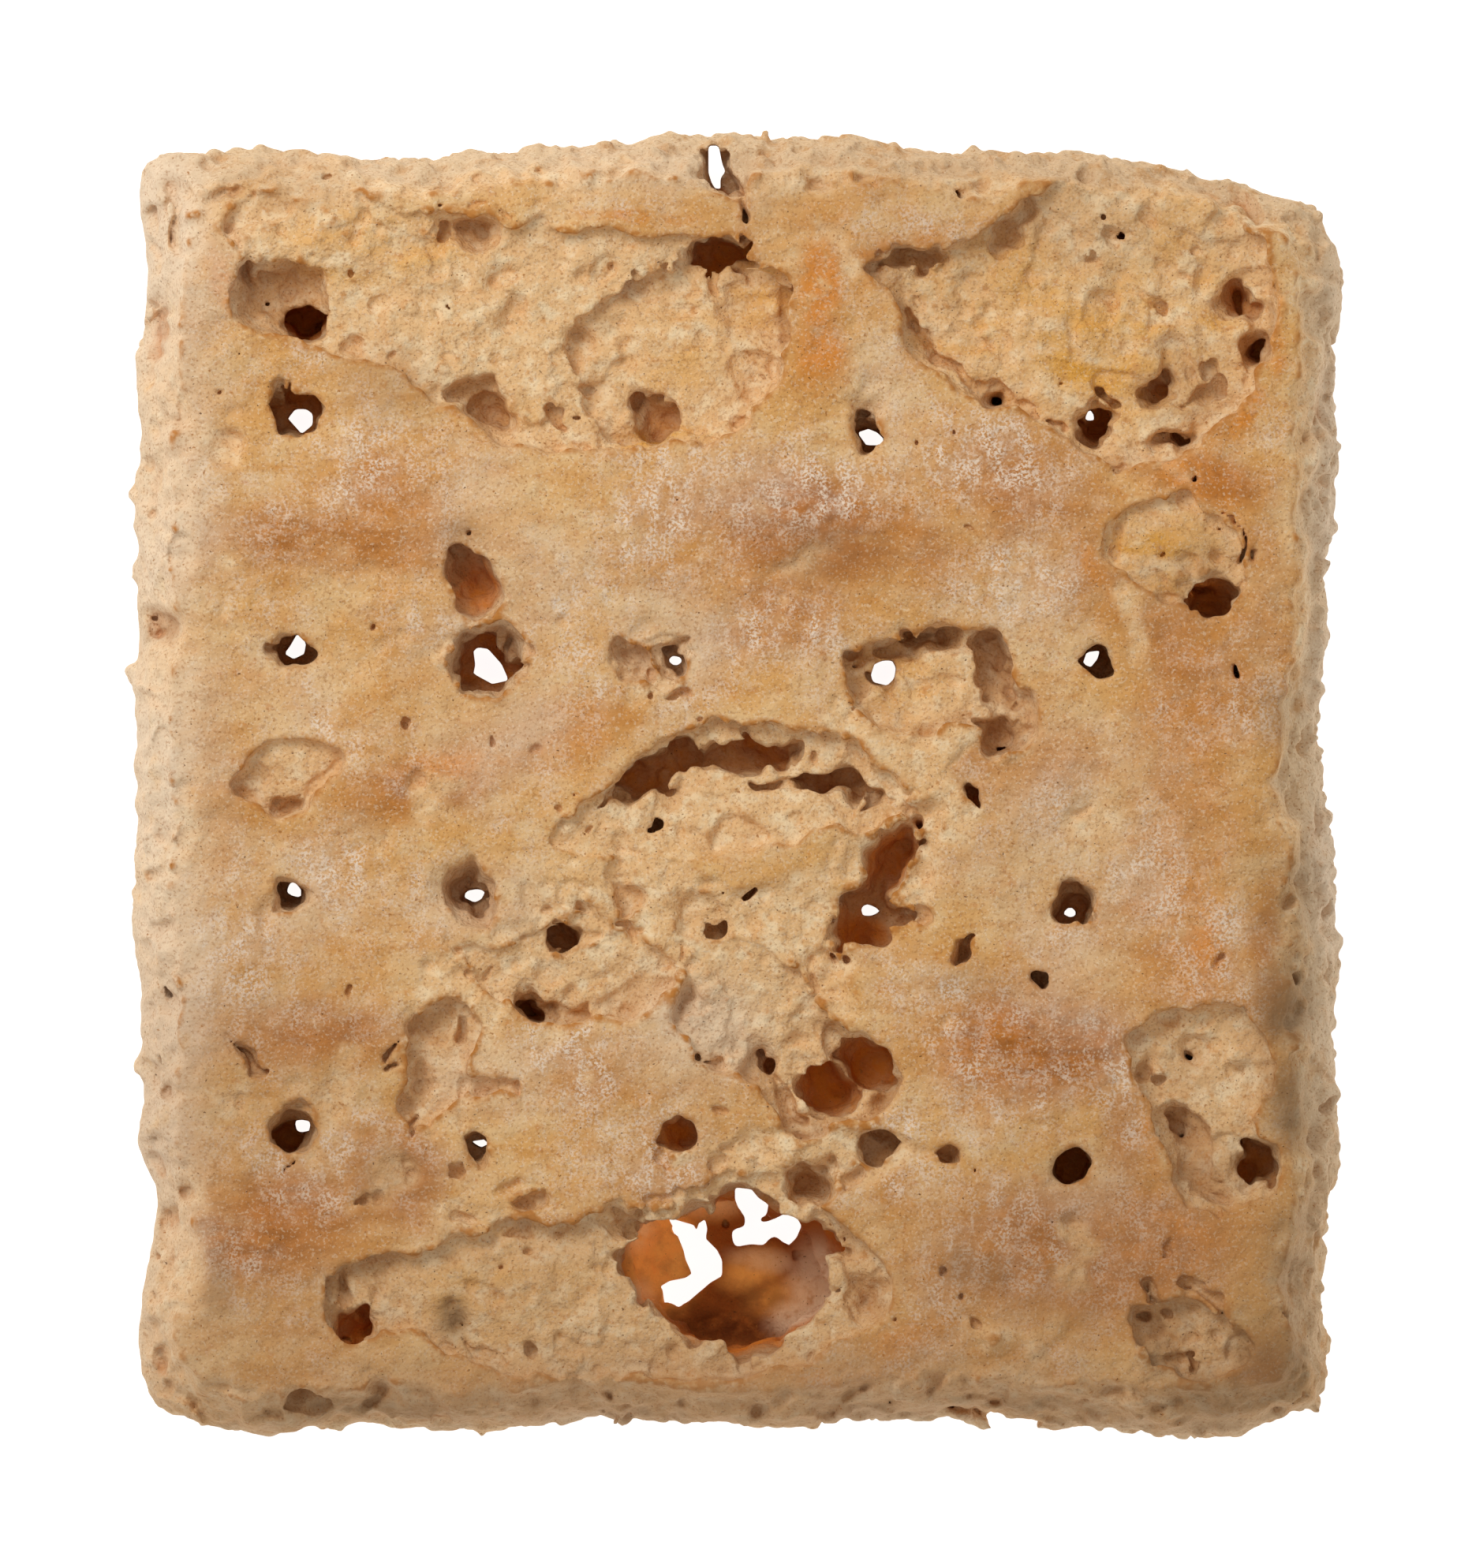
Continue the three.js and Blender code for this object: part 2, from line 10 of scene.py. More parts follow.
# %% Load the frame
import math
import bpy
import numpy as np
import openvdb
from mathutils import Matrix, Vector


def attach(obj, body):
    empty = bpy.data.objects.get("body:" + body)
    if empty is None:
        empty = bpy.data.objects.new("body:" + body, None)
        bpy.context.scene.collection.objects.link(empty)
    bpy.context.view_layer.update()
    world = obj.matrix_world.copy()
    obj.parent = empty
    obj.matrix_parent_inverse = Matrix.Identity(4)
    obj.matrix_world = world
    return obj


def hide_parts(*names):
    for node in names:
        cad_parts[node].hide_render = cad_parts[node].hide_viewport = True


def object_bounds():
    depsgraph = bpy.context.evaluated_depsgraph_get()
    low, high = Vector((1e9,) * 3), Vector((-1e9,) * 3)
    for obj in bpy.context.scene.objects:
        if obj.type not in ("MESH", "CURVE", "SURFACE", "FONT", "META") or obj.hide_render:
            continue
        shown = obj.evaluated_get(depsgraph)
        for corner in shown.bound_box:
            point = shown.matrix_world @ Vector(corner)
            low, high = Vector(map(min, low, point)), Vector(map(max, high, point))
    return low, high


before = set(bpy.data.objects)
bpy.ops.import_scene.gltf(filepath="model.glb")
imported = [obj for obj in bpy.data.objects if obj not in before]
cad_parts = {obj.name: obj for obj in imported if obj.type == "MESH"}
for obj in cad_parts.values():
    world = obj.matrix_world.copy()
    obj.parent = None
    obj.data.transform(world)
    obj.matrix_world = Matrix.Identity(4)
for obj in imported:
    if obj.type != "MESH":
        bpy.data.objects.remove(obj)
cad_box = [list(corner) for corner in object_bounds()]
MM = 0.001
cad_low, cad_high = (np.array(corner) / MM for corner in cad_box)
print("solid, mm:", cad_low.round(2), cad_high.round(2))

# %% [markdown]
# ## The camera
#
# The biscuit lies on its back and the camera looks straight down on it, with +Y at the top of the picture.
# A long lens from three metres off keeps the flanks from showing and lets it see straight down the pin
# holes, as for any flat thing that is laid out to be copied. The frame leaves a margin around the biscuit.

# %% Camera
MARGIN = 1.2045  # height of the view over the length of the biscuit
CAMERA_HEIGHT = 3.0  # m
SENSOR = 36.0  # mm

camera_data = bpy.data.cameras.new("straight_down")
camera = bpy.data.objects.new("straight_down", camera_data)
bpy.context.scene.collection.objects.link(camera)
bpy.context.scene.camera = camera
view_height = MARGIN * (cad_high[1] - cad_low[1]) * MM
camera_data.sensor_fit = "VERTICAL"
camera_data.sensor_height = SENSOR
camera_data.lens = SENSOR * (CAMERA_HEIGHT - cad_high[2] * MM / 2) / view_height
camera.location = (0, 0, CAMERA_HEIGHT)
camera.rotation_euler = (0, 0, 0)
bpy.context.scene.view_settings.view_transform = "Standard"
print("lens, mm:", round(camera_data.lens, 1))

# %% [markdown]
# ## Dough as a field of distances
#
# Bread is a poor fit for pushing vertices about: a tear has an overhanging lip, a bubble a narrow mouth, and
# a pin hole goes through. So the solid becomes a field that holds, at every point of a fine grid, the
# distance to the surface, negative inside. Adding to the field takes dough away there, taking the larger of
# two fields cuts one shape out of another, and at the end the zero level becomes a mesh again.

# %% The solid as a field
VOXEL = 0.16  # mm between grid points
BAND = 8  # grid points on each side of the surface that hold true distances


def arrays_of(piece):
    """A piece's vertices in mm and its triangles."""
    mesh = piece.data
    mesh.calc_loop_triangles()
    points = np.empty(len(mesh.vertices) * 3, np.float32)
    corners = np.empty(len(mesh.loop_triangles) * 3, np.int32)
    mesh.vertices.foreach_get("co", points)
    mesh.loop_triangles.foreach_get("vertices", corners)
    return points.reshape(-1, 3) / MM, corners.reshape(-1, 3).astype(np.uint32)


grid_lines = openvdb.createLinearTransform(VOXEL)
solid_points, solid_corners = arrays_of(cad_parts["biscuit"])
solid_grid = openvdb.FloatGrid.createLevelSetFromPolygons(
    solid_points, triangles=solid_corners, transform=grid_lines, halfWidth=BAND
)
first, last = (np.array(corner) for corner in solid_grid.evalActiveVoxelBoundingBox())
field = np.empty(last - first + 1, np.float32)
solid_grid.copyToArray(field, ijk=first.tolist())
xs, ys, zs = ((np.arange(n) + f) * VOXEL for n, f in zip(field.shape, first))
print("grid points:", field.shape)

# %% Helpers for fields


def smoothstep(values, low, high):
    """0 where values are under low, 1 over high, and an even slope between; low may be the larger."""
    share = np.clip((values - low) / (high - low), 0, 1)
    return share * share * (3 - 2 * share)


def blurred(values, radius_mm):
    """Three passes of a moving average along each axis, which is close to a Gaussian blur."""
    reach = max(1, round(radius_mm / VOXEL))
    width = 2 * reach + 1
    for _ in range(3):
        for axis in range(values.ndim):
            margins = [(reach + 1, reach) if a == axis else (0, 0) for a in range(values.ndim)]
            total = np.cumsum(np.pad(values, margins, mode="edge"), axis=axis, dtype=np.float32)
            total = np.moveaxis(total, axis, 0)
            values = np.moveaxis((total[width:] - total[:-width]) / width, 0, axis)
    return values


def spline_rows(count, step):
    """How much each lattice point, one every step grid points, counts at each of count grid points."""
    place = np.arange(count) / step
    cell = place.astype(int)
    t = place - cell
    shares = [(1 - t) ** 3, 3 * t**3 - 6 * t**2 + 4, -3 * t**3 + 3 * t**2 + 3 * t + 1, t**3]
    rows = np.zeros((count, cell[-1] + 4), np.float32)
    for offset, share in enumerate(shares):
        rows[np.arange(count), cell + offset] = share / 6
    return rows


def lumps(size_mm, seed, shape=field.shape):
    """Smooth random lumps with a spread of 1. Their size in mm is one number, or one for each axis."""
    sizes = np.broadcast_to(size_mm, len(shape))
    rows = [spline_rows(count, size / VOXEL) for count, size in zip(shape, sizes)]
    random = np.random.default_rng(seed)
    values = random.standard_normal([row.shape[1] for row in rows]).astype(np.float32)
    for axis, row in enumerate(rows):
        values = np.moveaxis(np.tensordot(row, values, axes=(1, axis)), 0, axis)
    return np.ascontiguousarray(values / values.std())


def ovals(table, x, y):
    """Soft oval spots in plan: x, y, half sizes, turn in degrees and strength, joined by the largest."""
    total = np.zeros(np.shape(x), np.float32)
    for middle_x, middle_y, along, across, turn, strength in table:
        cosine, sine = math.cos(math.radians(turn)), math.sin(math.radians(turn))
        dx, dy = x - middle_x, y - middle_y
        radius = np.hypot((cosine * dx + sine * dy) / along, (cosine * dy - sine * dx) / across)
        total = np.maximum(total, strength * (1 - smoothstep(radius, 0.2, 1.3)))
    return total


def read(values, place):
    """Reads an array at places given in grid steps, one array of places for each axis, with easing."""
    base = [np.clip(np.floor(p).astype(np.int64), 0, n - 2) for p, n in zip(place, values.shape)]
    share = [np.clip(p - b, 0, 1).astype(np.float32) for p, b in zip(place, base)]

    def eased(corner):
        axis = len(corner)
        if axis == values.ndim:
            return values[tuple(b + c for b, c in zip(base, corner))]
        low, high = eased((*corner, 0)), eased((*corner, 1))
        return low + (high - low) * share[axis]

    return eased(())


# %% [markdown]
# ## Corners and closed pin holes
#
# The square was cut with a straight edge, so its corners are sharper than the solid's. The pin holes closed
# again as the dough rose: dough fills them part of the way and leaves a hollow. What stays open of a hole
# is cut later, as a shaft.

# %% Corners and closed pin holes
# x, y and radius in mm, then the side of the block of dough that fills each corner, its foot and its top.
CORNERS = ((-35.7, 38.0, 0.8), (-35.2, -38.0, 0.9), (35.7, 35.3, 1.4), (36.0, -38.2, 1.4))
CORNER_SIDE, CORNER_FOOT, CORNER_TOP = 5.0, 0.8, 8.8
CLOSED_HOLES = (  # x, y and the height of the dough in them, mm
    (-14.9, 22.7, 8.6), (-4.9, 21.5, 8.2), (8.2, 20.9, 7.0), (21.4, 22.3, 6.8), (-3.7, 7.5, 8.8),
    (8.9, 6.8, 8.5), (-15.7, -6.7, 8.6), (8.1, -7.6, 7.4), (-15.3, -21.7, 8.8), (-4.0, -21.0, 8.0),
    (8.4, -21.6, 9.2), (-26.6, 22.2, 6.6), (-26.5, 8.2, 7.2), (-15.0, 7.2, 6.8), (21.8, 7.3, 7.0),
    (-27.0, -6.6, 7.2), (20.3, -7.6, 7.0), (-26.8, -21.2, 7.0), (20.2, -22.8, 6.4),
)
HOLE_REACH = 2.4  # radius of the dough that fills a hole, mm

plan_x, plan_y = np.meshgrid(xs, ys, indexing="ij")
for corner_x, corner_y, radius in CORNERS:
    beyond = [
        np.abs(plan - place + math.copysign(CORNER_SIDE / 2, place))[:, :, None] - CORNER_SIDE / 2 + radius
        for plan, place in ((plan_x, corner_x), (plan_y, corner_y))
    ]
    beyond.append(np.abs(zs - (CORNER_FOOT + CORNER_TOP) / 2) - (CORNER_TOP - CORNER_FOOT) / 2 + radius)
    outside = np.sqrt(sum(np.maximum(part, 0) ** 2 for part in beyond))
    within = np.minimum(np.maximum(np.maximum(beyond[0], beyond[1]), beyond[2]), 0)
    field = np.minimum(field, outside + within - radius)
for hole_x, hole_y, filled_to in CLOSED_HOLES:
    aside = np.hypot(plan_x - hole_x, plan_y - hole_y)[:, :, None] - HOLE_REACH
    field = np.minimum(field, np.maximum(np.maximum(aside, zs - filled_to), -zs))
field = field.astype(np.float32)
print("closed pin holes:", len(CLOSED_HOLES))

# %% [markdown]
# ## How far from the rim
#
# Much depends on how far a place is from the outline, seen from above. The solid rounds its top over rather
# widely towards the rim. Real dough stays level almost to its edge, so the top is lifted there to the
# fuller shape, and the lift fades out towards the middle of the thickness.

# %% Distance from the rim
SHOULDER, SHOULDER_DROP = 3.2, 2.6  # how the solid rounds over: width in plan and fall, mm
FULLER, FULLER_DROP = 2.0, 1.4  # and how the dough does


def top_of(values):
    """The height of the highest dough at each place in plan."""
    inside = values < 0
    top = values.shape[2] - 1 - np.argmax(inside[:, :, ::-1], axis=2)
    return np.where(inside.any(axis=2), zs[top], 0)


def distance_to(mask):
    """Distance in mm from each place in plan to the nearest marked one."""
    squared = np.where(mask, 0, 1e6).astype(np.float32)
    for _ in range(2):
        steps = np.arange(len(squared))
        gaps = ((steps[:, None] - steps) ** 2).astype(np.float32)
        squared = np.stack([(squared + gap[:, None]).min(axis=0) for gap in gaps]).T
    return np.sqrt(squared) * VOXEL


def rounding(width, drop):
    """How far a quarter-round edge of this width and drop falls at each place in plan."""
    fall = np.clip(1 - to_rim / width, 0, 1)
    return drop * (1 - np.sqrt(1 - fall**2))


near_outline = (np.abs(plan_x) > cad_high[0] - 4) | (np.abs(plan_y) > cad_high[1] - 1.5)
to_rim = distance_to((top_of(field) == 0) & near_outline)
lift = rounding(SHOULDER, SHOULDER_DROP) - rounding(FULLER, FULLER_DROP)
print("the top is lifted by up to, mm:", round(float(lift.max()), 2))

# %% [markdown]
# ## Ragged edges
#
# Dry dough doesn't tear along smooth curves. So the whole field is read at places that wander a little from
# where they should be, which makes every torn edge and every hole ragged, and lets their outline change on
# the way down. Deep down, where the pins pressed the dough together, edges wander less, and so does the
# rim, which was cut.

# %% Ragged edges
WANDER = ((2.6, 0.20), (1.0, 0.18), (0.42, 0.11))  # size in plan and distance, mm
STRETCH = 2.2  # a wandering edge changes this much more slowly downwards than sideways
STEADY = 0.4  # share of the wandering near the underside
RIM_STEADY = 0.8  # and at the rim

steadied = STEADY + (1 - STEADY) * smoothstep(zs, 4.0, 9.0)
steadied = steadied * (RIM_STEADY + (1 - RIM_STEADY) * smoothstep(to_rim, 0.5, 3.0)[:, :, None])
steadied = steadied.astype(np.float32)
shifts = [
    steadied * sum(far * lumps((size, size, size * STRETCH), 90 + 10 * axis + i)
                   for i, (size, far) in enumerate(WANDER))
    for axis in range(2)
]
raised = (lift[:, :, None] * smoothstep(zs, 4.0, 8.5)).astype(np.float32)
ragged = np.empty_like(field)
SLICE = 16
for start in range(0, len(field), SLICE):
    part = slice(start, start + SLICE)
    places = list(np.indices(field[part].shape, dtype=np.float32))
    places[0] += start + shifts[0][part] / VOXEL
    places[1] += shifts[1][part] / VOXEL
    places[2] -= raised[part] / VOXEL
    ragged[part] = read(field, places)
field = ragged
del ragged, raised
print("edges wander by up to, mm:", round(float(max(np.abs(shift).max() for shift in shifts)), 2))

# %% [markdown]
# ## Where the crust is, and where it is gone
#
# The finish depends on the place. Intact crust is smooth, floury and browned; where it broke away, crumb
# shows; the rim was cut and is rough all round. Maps in plan tell these apart: how far a place is from the
# outline, how high the crust would stand there, and how high the dough really stands.

# %% Maps in plan
CRUST_LEVEL, PUFF = 11.2, 0.7  # height of the crust along the lines of pins, and how it puffs up between, mm
CRUST_GOES_DOWN = 3.0  # mm down the left and near sides
PIN_FIRST, PIN_PITCH = (-26.8, 22.2), (11.95, 14.7)  # a pin hole, and how far apart they are, mm
FLAKED = (  # where only the outermost skin came off: x, y, half sizes, turn and strength
    (-7, -8, 9, 5, 0, 1), (2.5, -12, 5.5, 8.5, 0, 1), (-16.8, -15, 3.4, 8, 0, 1), (8.5, -4, 4, 5, 0, 1),
    (4, -22.6, 10, 2.4, 0, 1), (11.5, 4.6, 6.5, 5.4, 0, 1), (-4.4, 7.4, 3.4, 2.4, 0, 1),
    (-15.4, -25.6, 4, 2.4, 0, 1), (-16.6, 7, 2.4, 3.4, 0, 0.7), (26.6, -34, 4, 2.6, 0, 0.9),
    (13.5, -1.5, 2.4, 2.4, 0, 0.8),
)

height = top_of(field)
covered = height > 0
between_rows, between_columns = (
    0.5 - 0.5 * np.cos(2 * np.pi * (place - start) / pitch)
    for place, start, pitch in ((plan_y, PIN_FIRST[1], PIN_PITCH[1]), (plan_x, PIN_FIRST[0], PIN_PITCH[0]))
)
puffed = PUFF * (0.7 * between_rows + 0.3 * between_columns)
crust_level = CRUST_LEVEL + puffed - rounding(FULLER, FULLER_DROP)

# How many mm from the outline the crust ends: more at the right and far sides, less at the near and left.
crust_end = 0.9 + 0.8 * smoothstep(plan_x, 20.0, 34.0) + 0.9 * smoothstep(plan_y, 30.0, 37.0)
crust_end = crust_end - 0.6 * smoothstep(plan_y, -34.0, -37.0) - 0.5 * smoothstep(plan_x, -32.0, -35.0)
crust_end = crust_end + 0.35 * lumps(2.2, 70, to_rim.shape) + 0.25 * lumps(0.7, 71, to_rim.shape)
inland = smoothstep(to_rim - crust_end, -0.35, 0.35)
torn = blurred(smoothstep(crust_level - height, 0.2, 0.45) * inland, 0.2)
flaked = ovals(FLAKED, plan_x, plan_y)
flaked = flaked + 0.22 * lumps(2.4, 72, to_rim.shape) + 0.12 * lumps(0.9, 73, to_rim.shape)
flaked = smoothstep(flaked, 0.35, 0.75) * inland
goes_down = CRUST_GOES_DOWN * np.maximum(smoothstep(plan_x, -20.0, -30.0), smoothstep(plan_y, -30.0, -36.0))
goes_down = goes_down * (1 - smoothstep(to_rim, 1.0, 3.6))
below_crust = (crust_level - goes_down)[:, :, None] - zs
rough = np.maximum(torn, 0.9 * flaked)
crumb = np.maximum(rough[:, :, None], smoothstep(below_crust, 0.5, 1.1)).astype(np.float32)
rim = (1 - inland)[:, :, None]
print("torn share of the top:", round(float(torn[covered].mean()), 3))

# %% [markdown]
# ## Smoothing
#
# The solid's flat facets have to go: a wide blur of the field rounds them, and a wider one the shoulder by
# the rim. Both would also round the edges of tears and holes, so there the field stays as it was.

# %% Round off the facets
wide = blurred(field, 0.6)
by_rim = smoothstep(to_rim, 5.0, 3.0)[:, :, None] * smoothstep(zs, 5.0, 7.5)
by_rim = by_rim.astype(np.float32)
wide += (blurred(field, 1.1) - wide) * by_rim
at_edge = blurred(smoothstep(np.abs(field - wide), 0.03, 0.07), 0.16)
at_edge = smoothstep(at_edge, 0.05, 0.5) * smoothstep(to_rim, 1.0, 3.0)[:, :, None]
field = wide + (field - wide) * at_edge
del wide, by_rim, at_edge
height = top_of(field)

# %% [markdown]
# ## Pits, hollows and cracks
#
# A pit is cut along an outline in plan. Its floor goes down steeply from the edge to its depth, and a deep
# one widens a little under the crust, which leaves a thin lip. A hollow is only a soft dent, and a crack a
# narrow V. All of them wander as the tears do. Crumb also flakes off in thin layers with little scarps, and
# is pocked all over.

# %% Cutting tools
LIP = 0.3  # mm that a deep pit widens under the crust
LIP_TOP, LIP_FOOT = 0.3, 1.4  # mm under the crust
DEEP_PIT = 2.0  # mm from which a pit has a lip
EASY = 1.15  # every slope is this much wider than its table says
BUBBLE_SUNK, BUBBLE_HEIGHT = 0.3, 0.7  # shares of its depth: where its middle lies, and its half height


def window_round(centre, reach):
    """The part of the field within reach of a place, and where its points are, shifted as edges wander."""
    bounds = [np.searchsorted(line, (c - r, c + r)) for line, c, r in zip((xs, ys, zs), centre, reach)]
    part = tuple(slice(*pair) for pair in bounds)
    places = np.meshgrid(xs[part[0]], ys[part[1]], zs[part[2]], indexing="ij")
    return part, places[0] + shifts[0][part], places[1] + shifts[1][part], places[2]


def surface_at(x, y):
    """The height of the dough at a place in plan."""
    i, j = (int(np.clip(round(place / VOXEL) - start, 0, count - 1))
            for place, start, count in zip((x, y), first, field.shape))
    return float(height[i, j])


def inside_of(outline, x, y):
    """Distance in mm from places in plan to a closed outline: positive inside it."""
    squared = np.full(x.shape, np.inf)
    within = np.zeros(x.shape, bool)
    for (x0, y0), (x1, y1) in zip(outline, np.roll(outline, -1, axis=0)):
        ex, ey = x1 - x0, y1 - y0
        share = np.clip(((x - x0) * ex + (y - y0) * ey) / (ex**2 + ey**2), 0, 1)
        squared = np.minimum(squared, (x - x0 - share * ex) ** 2 + (y - y0 - share * ey) ** 2)
        if ey:
            within ^= ((y0 > y) != (y1 > y)) & (x < x0 + ex * (y - y0) / ey)
    return np.where(within, 1, -1) * np.sqrt(squared)


def cut_pit(depth, slope, outline):
    """Cuts a pit; slope is how far in from its edge its floor gets to the full depth."""
    corners = np.array(outline)
    middle = (corners.min(axis=0) + corners.max(axis=0)) / 2
    reach = np.ptp(corners, axis=0) / 2 + 0.8
    level = float(np.median([surface_at(*corner) for corner in corners]))
    low, high = level - depth - 0.6, zs[-1] + VOXEL
    part, x, y, z = window_round((*middle, (low + high) / 2), (*reach, (high - low) / 2))
    inward = inside_of(corners, x, y)
    if depth > DEEP_PIT:
        inward = inward + LIP * smoothstep(level - z, LIP_TOP, LIP_FOOT)
    fall = np.clip(inward / (slope * EASY), 0, 1)
    floor = level - depth * np.sqrt(1 - (1 - fall) ** 2) + fall * pit_floor[part[:2]][:, :, None]
    field[part] = np.maximum(field[part], np.minimum(inward, z - floor))


def cut_bubble(x, y, along, across, turn, depth):
    """Cuts an egg-shaped bubble with these half sizes, turned about the vertical by degrees."""
    cosine, sine = math.cos(math.radians(turn)), math.sin(math.radians(turn))
    level = surface_at(x, y) - BUBBLE_SUNK * depth
    reach = max(along, across) + 0.6
    part, px, py, pz = window_round((x, y, level), (reach, reach, depth + 0.4))
    u = (cosine * (px - x) + sine * (py - y)) / along
    v = (cosine * (py - y) - sine * (px - x)) / across
    w = (pz - level) / (BUBBLE_HEIGHT * depth)
    inside = (1 - np.sqrt(u**2 + v**2 + w**2)) * min(along, across)
    field[part] = np.maximum(field[part], inside)


def cut_crack(points, width, depth):
    """Cuts a V-shaped crack along a line of points in plan."""
    for (x0, y0), (x1, y1) in zip(points, points[1:]):
        middle = ((x0 + x1) / 2, (y0 + y1) / 2)
        level = surface_at(*middle)
        length = math.hypot(x1 - x0, y1 - y0)
        part, x, y, z = window_round((*middle, level), (length / 2 + 1, length / 2 + 1, depth + 1))
        ux, uy = (x1 - x0) / length, (y1 - y0) / length
        dx, dy = x - middle[0], y - middle[1]
        along = np.clip(dx * ux + dy * uy, -length / 2, length / 2)
        aside = np.hypot(dx - along * ux, dy - along * uy)
        closing = width / 2 * (1 + (z - level) / depth)
        field[part] = np.maximum(field[part], np.minimum(closing - aside, depth + z - level))


pit_floor = 0.24 * lumps(1.1, 80, height.shape) + 0.14 * lumps(0.5, 81, height.shape)

# %% Hollows
# x, y, half sizes along and across, turn in degrees and depth, all in mm.
HOLLOWS = (
    (-14.9, 22.7, 1.4, 1.4, 0, 1.2), (-2.9, 28.8, 1.2, 1.0, 0, 0.45), (0.6, 28.2, 1.6, 2.4, 10, 0.5),
    (-0.6, 26.2, 1.6, 1.0, -20, 0.4), (-9.0, 26.6, 1.4, 1.8, -30, 0.4), (29.6, 29.4, 1.6, 1.0, 30, 0.5),
    (26.6, 28.2, 0.7, 0.5, 0, 0.3), (14.9, 30.8, 0.9, 1.0, 0, 0.3), (11.4, 26.4, 1.8, 1.4, -30, 0.6),
    (14.2, 27.4, 1.2, 0.4, -8, 0.25), (20.2, 26.8, 0.5, 2.0, 6, 0.3), (-16.4, 31.0, 0.7, 1.3, 20, 0.4),
    (-18.4, 29.4, 0.9, 0.7, 0, 0.3), (-13.4, 28.4, 1.4, 1.0, 30, 0.3), (8.0, 22.9, 1.4, 1.2, 0, 0.6),
    (-16.6, -6.3, 2.0, 1.8, -20, 0.9), (-6.6, -9.5, 0.6, 0.8, 0, 0.7), (-2.9, -7.3, 1.2, 1.1, 0, 0.8),
    (-1.8, -5.8, 0.8, 0.5, 0, 0.4), (-3.8, -6.5, 0.6, 0.5, 0, 0.4), (-17.2, -9.8, 0.6, 0.9, 0, 0.4),
    (-17.2, -11.7, 1.0, 0.6, 0, 0.4), (-18.6, -14.0, 1.7, 1.3, 20, 0.5), (-19.1, -17.4, 0.9, 2.6, 0, 0.6),
    (-16.2, -18.6, 0.6, 1.0, 20, 0.5), (-3.5, -13.0, 0.8, 0.9, 0, 0.35), (11.4, -1.2, 1.1, 0.9, 20, 0.5),
    (11.1, 3.1, 1.3, 0.7, 10, 0.5), (7.2, 3.6, 0.8, 1.2, -20, 0.3), (3.6, -15.0, 1.3, 0.9, 0, 0.5),
    (4.0, -16.4, 1.0, 0.8, 0, 0.4), (27.4, -22.0, 1.6, 1.3, 0, 1.2), (28.6, -24.6, 1.3, 0.8, -20, 1.0),
    (24.8, -16.8, 0.9, 1.0, 0, 0.5), (26.4, -35.2, 0.9, 0.6, 10, 0.6), (25.6, -33.2, 0.8, 0.8, 0, 0.4),
    (27.3, -33.6, 0.5, 0.6, 0, 0.4), (-13.2, -24.5, 1.3, 0.8, 10, 0.6), (-17.0, -28.8, 0.9, 0.6, 0, 0.3),
    (-17.0, -31.9, 0.9, 1.0, 0, 0.6), (-8.1, -29.3, 0.6, 0.5, 0, 0.25), (-8.7, -33.0, 0.6, 0.7, 0, 0.3),
    (-6.6, -32.8, 0.5, 0.4, 0, 0.3), (7.4, -30.8, 1.1, 1.3, 0, 0.6), (7.2, -27.6, 1.7, 1.6, 0, 0.3),
    (-7.6, -37.0, 0.5, 0.6, 0, 0.4), (-28.2, -7.8, 1.0, 1.6, 0, 0.4), (-10.4, 9.6, 0.7, 0.5, 0, 0.25),
    (10.6, 4.6, 2.2, 1.0, 0, 0.3), (-5.2, 9.4, 0.9, 0.8, 0, 0.3), (17.6, 3.4, 1.0, 1.0, 0, 0.3),
    (-13.4, -11.0, 0.8, 1.0, 0, 0.3), (-8.0, -11.6, 0.5, 0.4, 0, 0.3), (21.2, -7.4, 1.0, 1.2, 0, 0.5),
)
HOLLOW_SPREAD = 1.15  # each fades out at this many times its half sizes

dents = np.zeros_like(height)
for x, y, along, across, turn, depth in HOLLOWS:
    cosine, sine = math.cos(math.radians(turn)), math.sin(math.radians(turn))
    dx, dy = plan_x - x + shifts[0][:, :, -1], plan_y - y + shifts[1][:, :, -1]
    radius = np.hypot((cosine * dx + sine * dy) / along, (cosine * dy - sine * dx) / across)
    dents += depth * np.clip(1 - (radius / HOLLOW_SPREAD) ** 2, 0, 1) ** 2
# Here crumb stands nearly as high as the crust: x, y, half sizes, turn and mm.
LEVELLED = ((-26.4, 33.0, 5.6, 2.6, -4, 0.75), (-16, -29.5, 10, 4, 0, 0.3), (25.5, 14.2, 4, 3.4, 0, 0.25))
dents -= ovals(LEVELLED, plan_x, plan_y) * torn
flat = height.shape
ragged_line = 0.30 * lumps(1.1, 62, flat) + 0.16 * lumps(0.5, 63, flat)
scarps = (0.22 * smoothstep(lumps(4.6, 64, flat) + ragged_line, -0.12, 0.12)
          + 0.16 * smoothstep(lumps(2.8, 65, flat) + ragged_line, 0.4, 0.6))
pocks = (0.50 * smoothstep(lumps(1.5, 66, flat), 1.0, 1.7)
         + 0.28 * smoothstep(lumps(0.8, 67, flat), 1.1, 1.8))
dents += (scarps + pocks) * rough
field += (dents[:, :, None] * smoothstep(zs, 4.0, 8.0)).astype(np.float32)
print("hollows:", len(HOLLOWS))

